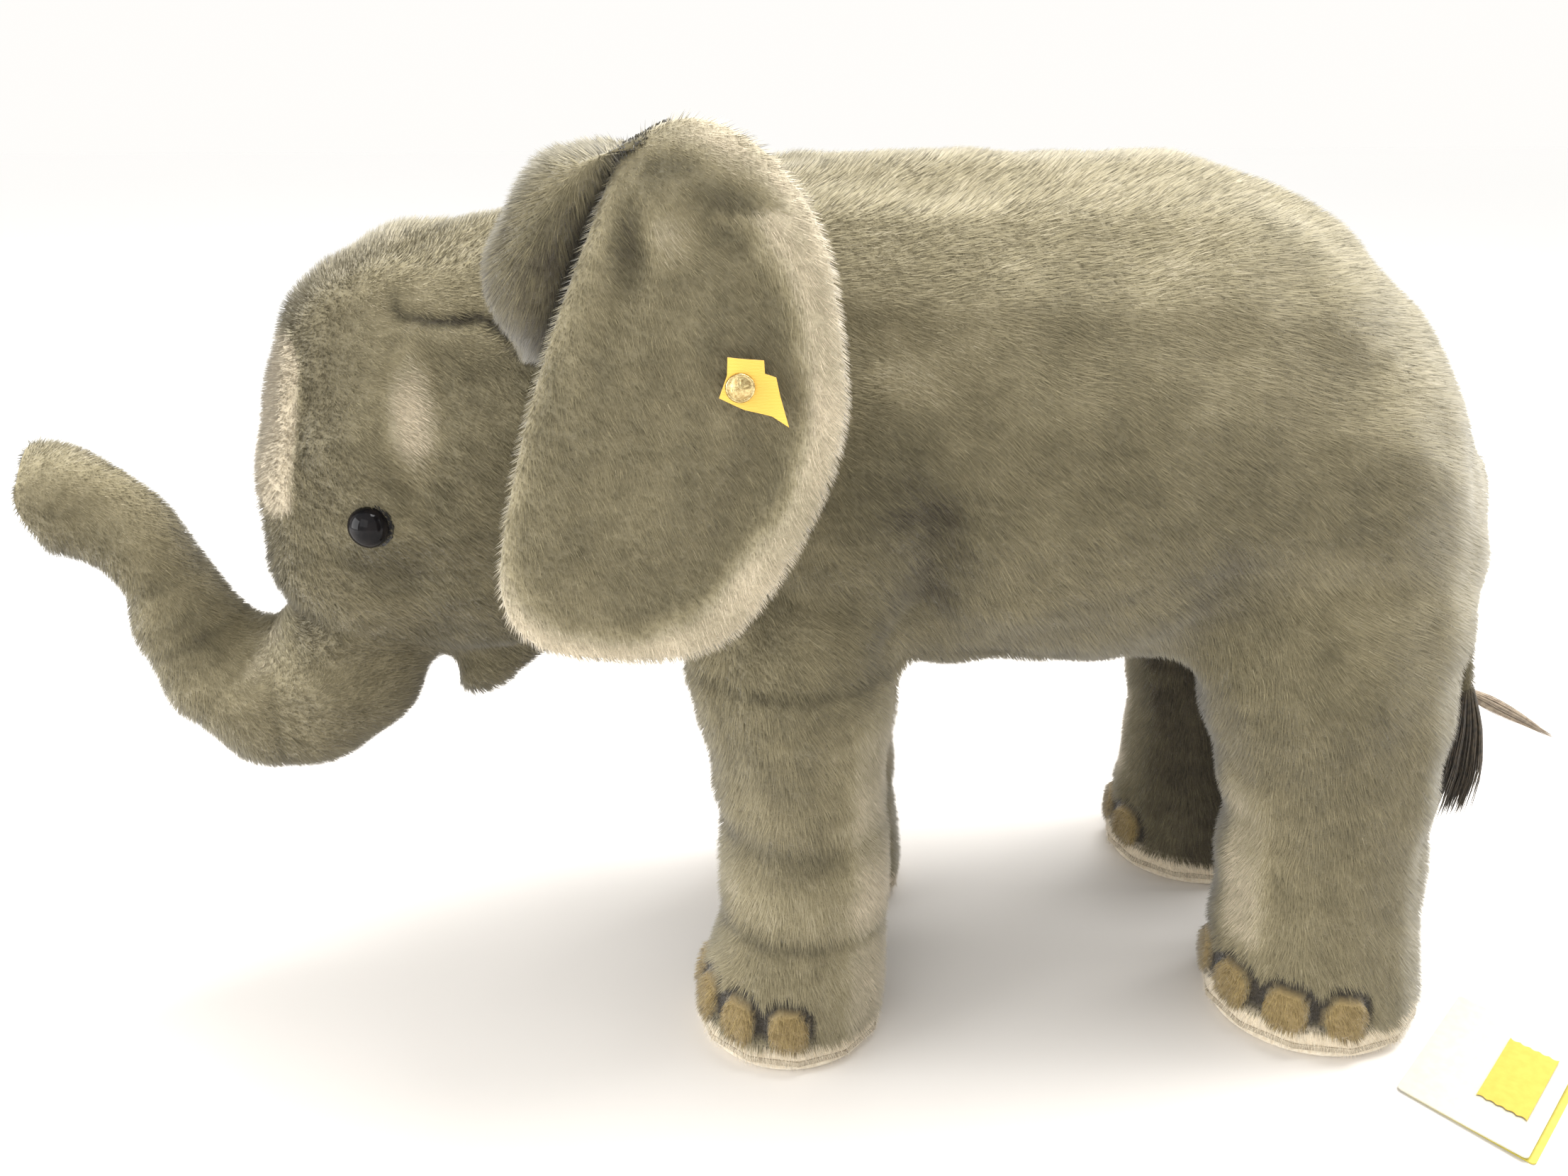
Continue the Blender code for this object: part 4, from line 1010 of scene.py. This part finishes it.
EYE = np.array([-0.150, 0.0545, 0.196])
EYE_OUT = np.array([-0.36, 0.93, -0.05])
EYE_RADIUS = 0.0063
EYE_DEPTH = 0.0026  # how far the pile and the socket take the eye in


def add_eyes():
    glass = gloss_eye()
    for side, sign in SIDES.items():
        profile = []
        for k in range(25):
            a = math.pi * (k / 24 - 0.5)
            profile.append((max(EYE_RADIUS * math.cos(a), 0.00002), EYE_RADIUS * 0.86 * math.sin(a)))
        points, faces = lathe(profile)
        turn = axes_along(EYE_OUT * [1, sign, 1])
        points = EYE * [1, sign, 1] - turn[2] * EYE_DEPTH + points @ turn
        eye = solid_piece(f"eye_{side}_glass", points, faces, glass, "body")
        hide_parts(f"eye_{side}")


def add_button():
    brass = polished_brass()
    low, high = box_of("ear_button")
    middle = (low + high) / 2
    radius = (high[0] - low[0]) / 2 * 0.82
    profile = [(radius * 0.96, -0.0002), (radius, 0.0002), (radius * 0.97, 0.0007), (radius * 0.86, 0.0010)]
    profile += [(radius * 0.80, 0.0008), (radius * 0.74, 0.0009), (radius * 0.6, 0.0013)]
    profile += [(radius * 0.42, 0.0016), (radius * 0.2, 0.0018), (0.00002, 0.00185)]
    points, faces = lathe(profile, 72)
    turn = np.arctan2(points[:, 1], points[:, 0])
    out = np.hypot(points[:, 0], points[:, 1]) / radius
    points[:, 2] += 0.00008 * np.cos(turn * 9) * np.clip(1 - np.abs(out - 0.5) / 0.3, 0, 1)
    points = np.array([middle[0], low[1] + 0.0021, middle[2]]) + points @ axes_along((0, -1, 0))
    button = solid_piece("ear_button_cap", points, faces, brass, "ear_left")
    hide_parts("ear_button")


def plate(name, outline, origin, along, across, thick, bow, step, material, body):
    """A thin plate of any outline, cut into strips so that it can be bowed."""
    mesh = bmesh.new()
    mesh.faces.new([mesh.verts.new((x, y, 0)) for x, y in outline])
    low, high = np.min(outline, axis=0), np.max(outline, axis=0)
    for axis in range(2):
        for at in np.arange(low[axis] + step, high[axis], step):
            normal = (1, 0, 0) if axis == 0 else (0, 1, 0)
            bmesh.ops.bisect_plane(
                mesh, geom=mesh.verts[:] + mesh.edges[:] + mesh.faces[:],
                plane_co=tuple(n * at for n in normal), plane_no=normal,
            )
    top = bmesh.ops.extrude_face_region(mesh, geom=mesh.faces[:])
    for v in top["geom"]:
        if isinstance(v, bmesh.types.BMVert):
            v.co.z += thick
    bmesh.ops.recalc_face_normals(mesh, faces=mesh.faces[:])
    along, across = unit(np.array(along, float)), unit(np.array(across, float))
    up = np.cross(along, across)
    mesh.verts.index_update()
    points = np.array([v.co for v in mesh.verts])
    points[:, 2] += bow(points[:, 0], points[:, 1])
    placed = np.array(origin) + points @ np.array([along, across, up])
    faces = [[v.index for v in f.verts] for f in mesh.faces]
    mesh.free()
    piece = solid_piece(name, placed, faces, material, body)
    piece.data.set_sharp_from_angle(angle=math.radians(40))
    return piece


LABEL = [
    (-0.044, 0.2565), (-0.035, 0.2555), (-0.0348, 0.2522), (-0.032, 0.2512), (-0.031, 0.2465),
    (-0.0288, 0.2385), (-0.033, 0.2412), (-0.040, 0.2432), (-0.0462, 0.2462), (-0.0442, 0.2520),
]


def add_label():
    low, high = box_of("ear_label")
    label = plate(
        "ear_label_cloth", [(x, z) for x, z in LABEL], (0, low[1] + 0.0011, 0), (1, 0, 0), (0, 0, 1),
        0.0005, lambda x, z: 0.0004 * np.sin(x * 420) + 0.0005 * np.sin(z * 300 + 1), 0.0012,
        woven_label(), "ear_left",
    )
    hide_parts("ear_label")


TAIL = [
    (0.2255, 0.1925, 0.0046), (0.2300, 0.1860, 0.0036), (0.2335, 0.1720, 0.0032), (0.2350, 0.1610, 0.0030),
    (0.2365, 0.1500, 0.0029), (0.2388, 0.1340, 0.0027), (0.2405, 0.1200, 0.0026), (0.2440, 0.1030, 0.0024),
    (0.2452, 0.0975, 0.0022), (0.2455, 0.0950, 0.0012),
]


def add_tail(materials, backing):
    rings = []
    for k, (x, z, radius) in enumerate(TAIL):
        a, b = TAIL[max(k - 1, 0)], TAIL[min(k + 1, len(TAIL) - 1)]
        across = unit(np.array([b[1] - a[1], 0, a[0] - b[0]]))
        turn = [2 * math.pi * i / 16 for i in range(16)]
        rings.append(
            [np.array([x, 0, z]) + radius * (across * math.cos(t) + np.array([0, math.sin(t), 0])) for t in turn]
        )
    points, faces = tube(rings)
    sleeve = Skin(np.array(points), np.array([f for f in faces if len(f) == 4]))
    sleeve.face_out()
    colours = mark_colours(coat_marks(sleeve.points, sleeve.normals()))
    piece = sleeve.to_object("tail_sleeve", backing, colours)
    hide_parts("tail_upper", "tail_lower")
    fur = pile("tail_pile", sleeve, coat_marks, tail_lie, materials, 400, 0.0030, 1.4)
    for obj in (piece, *fur):
        bend_with(obj)


def tail_lie(p, n):
    return np.tile([0.15, 0.0, -0.95], (len(p), 1))


def hair_bundle(name, path, width, count, spread, seed, material, taper=0.35):
    """Long hairs along a path of (x, y, z), as three-sided tapered tubes of several lengths."""
    r = np.random.default_rng(seed)
    path = np.array(path)
    knots = np.linspace(0, 1, len(path))
    steps = 9
    points, faces = [], []
    for _ in range(count):
        a, out = r.uniform(0, 2 * math.pi), math.sqrt(r.random())
        off = np.array([math.cos(a), math.sin(a), 0]) * out
        reach = r.uniform(0.72, 1.0) if out > 0.3 else r.uniform(0.85, 1.0)
        curl = r.normal(0, 0.10, 2)
        start = len(points)
        thick = width * r.uniform(0.7, 1.2)
        for k in range(steps):
            t = k / (steps - 1) * reach
            at = np.array([np.interp(t, knots, path[:, i]) for i in range(3)])
            ahead = np.array([np.interp(min(t + 0.05, 1.0), knots, path[:, i]) for i in range(3)])
            behind = np.array([np.interp(max(t - 0.05, 0.0), knots, path[:, i]) for i in range(3)])
            cross = axes_along(ahead - behind)
            radius = spread(t)
            shift = (off[0] + curl[0] * t * t) * radius, (off[1] + curl[1] * t * t) * radius
            at = at + cross[0] * shift[0] + cross[1] * shift[1]
            size = thick * (1 - k / (steps - 1)) ** taper
            for j in range(3):
                b = 2 * math.pi * j / 3 + a
                points.append(at + size * (cross[0] * math.cos(b) + cross[1] * math.sin(b)))
            if k:
                low = start + (k - 1) * 3
                for j in range(3):
                    m = (j + 1) % 3
                    faces.append((low + j, low + m, low + 3 + m, low + 3 + j))
    return solid_piece(name, points, faces, material, "tail_lower")


def add_tuft():
    dark = hair("tuft_hair", linear(36, 30, 22), linear(78, 67, 50))
    path = [(0.2452, 0, 0.101), (0.2472, 0, 0.085), (0.2476, 0, 0.066), (0.2445, 0, 0.0425)]
    tuft = hair_bundle(
        "tail_tuft_hair", path, 0.00042, 420, lambda t: 0.0024 + 0.0066 * math.sin(min(t * 1.25, 1.0) * 1.6), 500,
        dark,
    )
    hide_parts("tail_tuft")
    pale = hair("lock_hair", linear(140, 124, 106), linear(178, 162, 140))
    path = [(0.2465, 0, 0.0985), (0.2560, 0, 0.0935), (0.2700, 0, 0.0860), (0.2880, 0, 0.0758)]
    lock = hair_bundle(
        "tail_lock_hair", path, 0.00032, 110, lambda t: 0.0007 + 0.0021 * math.sin(math.pi * min(t + 0.1, 1.0)), 520,
        pale,
    )
    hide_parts("tail_stray_lock")


def add_tag():
    """The folded card: a yellow leaf, a cream card over it and a scalloped sticker, all blank."""
    along, across = np.array([0.755, 0.656, 0.0]), np.array([0.577, -0.817, 0.0])
    size, corner_r = (0.062, 0.042), 0.0016
    finishes = {
        "hang_tag_leaf": (paper("leaf_paper", linear(180, 166, 54), linear(188, 174, 66)), "leaf"),
        "hang_tag_card": (paper("card_paper", linear(186, 183, 165), linear(192, 189, 172)), "card"),
    }
    for name, (finish, slot) in finishes.items():
        low, high = box_of(name)
        # the corner is the box's lowest x, and its y follows from the two directions
        start = np.array([low[0], low[1] - across[1] * size[1], low[2]])
        outline = []
        for cx, cy, begin in ((1, 1, 0), (0, 1, 90), (0, 0, 180), (1, 0, 270)):
            for a in np.radians(begin + np.arange(0, 91, 18)):
                x = cx * size[0] + (1 - 2 * cx) * corner_r + corner_r * math.cos(a)
                y = cy * size[1] + (1 - 2 * cy) * corner_r + corner_r * math.sin(a)
                outline.append((x, -y))
        lift = 0.0016 if slot == "card" else 0.0004
        leaf = plate(
            name + "_paper", outline, start, along, -across, 0.0005,
            lambda x, y, lift=lift: lift * (np.clip(x / size[0], 0, 1) ** 2 + 0.6 * (y / size[1]) ** 2),
            0.006, finish, "hang_tag",
        )
        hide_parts(name)
    low, high = box_of("price_sticker")
    wide, tall = 0.036, 0.016
    start = np.array([low[0], low[1] - across[1] * tall, low[2]])
    outline = []
    for k in range(25):  # scallops on the two ends
        outline.append((wide - 0.0008 * abs(math.sin(k / 24 * 5 * math.pi)), -tall * k / 24))
    for k in range(25):
        outline.append((0.0008 * abs(math.sin(k / 24 * 5 * math.pi)), -tall * (1 - k / 24)))
    sticker = plate(
        "price_sticker_paper", outline[::-1], start, along, -across, 0.0002,
        lambda x, y: 0.0018 * (((x + 0.016) / 0.062) ** 2 + 0.6 * ((y - 0.021) / 0.042) ** 2), 0.006,
        paper("sticker_paper", linear(188, 154, 40), linear(194, 161, 50)), "hang_tag",
    )
    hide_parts("price_sticker")


def add_soles():
    tones = linear(226, 210, 182), linear(246, 236, 214)
    cloth = mottled("sole_cloth", 0.95, (700, 0.6, 0.001), *tones, Sheen_Weight=0.4)
    for which in LEGS:
        centre, half = foot_centre(which)
        profile = [(0.00002, 0.0002), (0.5, 0.0002), (0.93, 0.0002), (0.975, 0.0006), (0.995, 0.0018)]
        profile += [(0.995, 0.0034), (0.98, 0.0054), (0.93, 0.0062), (0.5, 0.0062), (0.00002, 0.0062)]
        points, faces = lathe(profile, 96)
        points[:, 0] = centre[0] + points[:, 0] * (half[0] - 0.0068)
        points[:, 1] = centre[1] + points[:, 1] * (half[1] - 0.0068)
        sole = solid_piece(f"foot_sole_cloth_{which}", points, faces, cloth, "body")
        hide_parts(f"foot_sole_{which}")


# ---- stage, light and camera --------------------------------------------------------------

def add_stage():
    floor, nodes, links, shader = new_material("pale_floor", linear(226, 223, 218), 0.45)
    place, _ = noise_bump(nodes, links, shader, 6, 0.05, 0.002)
    reach = nodes.new("ShaderNodeVectorMath")
    reach.operation = "LENGTH"
    links.new(place.outputs["Object"], reach.inputs[0])
    mottle(nodes, links, shader, reach.outputs["Value"], linear(226, 222, 217), (1.0, 1.0, 1.0), 0.35, 1.2)
    mesh = bpy.data.meshes.new("floor")
    mesh.from_pydata([(-6, -6, 0), (6, -6, 0), (6, 6, 0), (-6, 6, 0)], [], [(0, 1, 2, 3)])
    mesh.materials.append(floor)
    link("floor", mesh)


def area_light(name, at, size, power, target=(0.0, 0.0, 0.15)):
    data = bpy.data.lights.new(name, "AREA")
    data.energy, data.size = power, size
    obj = link(name, data)
    obj.location = at
    obj.rotation_euler = (Vector(target) - Vector(at)).to_track_quat("-Z", "Y").to_euler()


def add_light():
    world = bpy.data.worlds.new("studio")
    bpy.context.scene.world = world
    world.use_nodes = True
    world.node_tree.nodes["Background"].inputs["Color"].default_value = (1.0, 0.985, 0.96, 1)
    world.node_tree.nodes["Background"].inputs["Strength"].default_value = 1.0
    area_light("top", (0.35, 0.15, 1.3), 0.8, 26)
    area_light("front", (-0.7, -1.2, 0.9), 1.0, 5)
    area_light("back", (1.1, 0.2, 0.7), 0.7, 9)
    area_light("left", (-1.2, -0.35, 0.45), 0.8, 12)
    bpy.context.scene.view_settings.view_transform = "Standard"


def add_camera():
    data = bpy.data.cameras.new("camera")
    data.sensor_width, data.lens = 36.0, 29.16
    data.clip_start = 0.01
    camera = link("camera", data)
    camera.location = Vector((-0.0572, -0.4184, 0.3199)) + Vector(TOY)
    camera.rotation_euler = (math.radians(90 - 21.86), 0, -math.radians(5.0))
    bpy.context.scene.camera = camera


# ---- assembly -----------------------------------------------------------------------------
def inner_materials():
    """Finishes of the pieces inside: wires, boards and washers."""
    steel = (0.42, 0.42, 0.43), (0.68, 0.68, 0.70)
    black = (0.008, 0.008, 0.009), (0.02, 0.02, 0.022)
    finishes = {
        "wire": mottled("drawn_wire", 0.35, (900, 0.2, 0.0003), *steel, Metallic=1.0),
        "board": paper("grey_board", linear(150, 138, 118), linear(182, 170, 148)),
        "washer": mottled("black_washer", 0.4, (600, 0.2, 0.0003), *black),
        "button_back": polished_brass(),
    }
    for name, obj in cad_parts.items():
        for word, material in finishes.items():
            if word in name:
                obj.data.materials.clear()
                obj.data.materials.append(material)


def main():
    inner_materials()
    materials = pile_materials()
    backing = plush_backing()
    add_hide(materials, backing)
    add_ears(materials, backing)
    add_eyes()
    add_button()
    add_label()
    add_tail(materials, backing)
    add_tuft()
    add_soles()
    add_tag()
    add_stage()
    add_light()
    add_camera()


main()
bpy.context.view_layer.update()
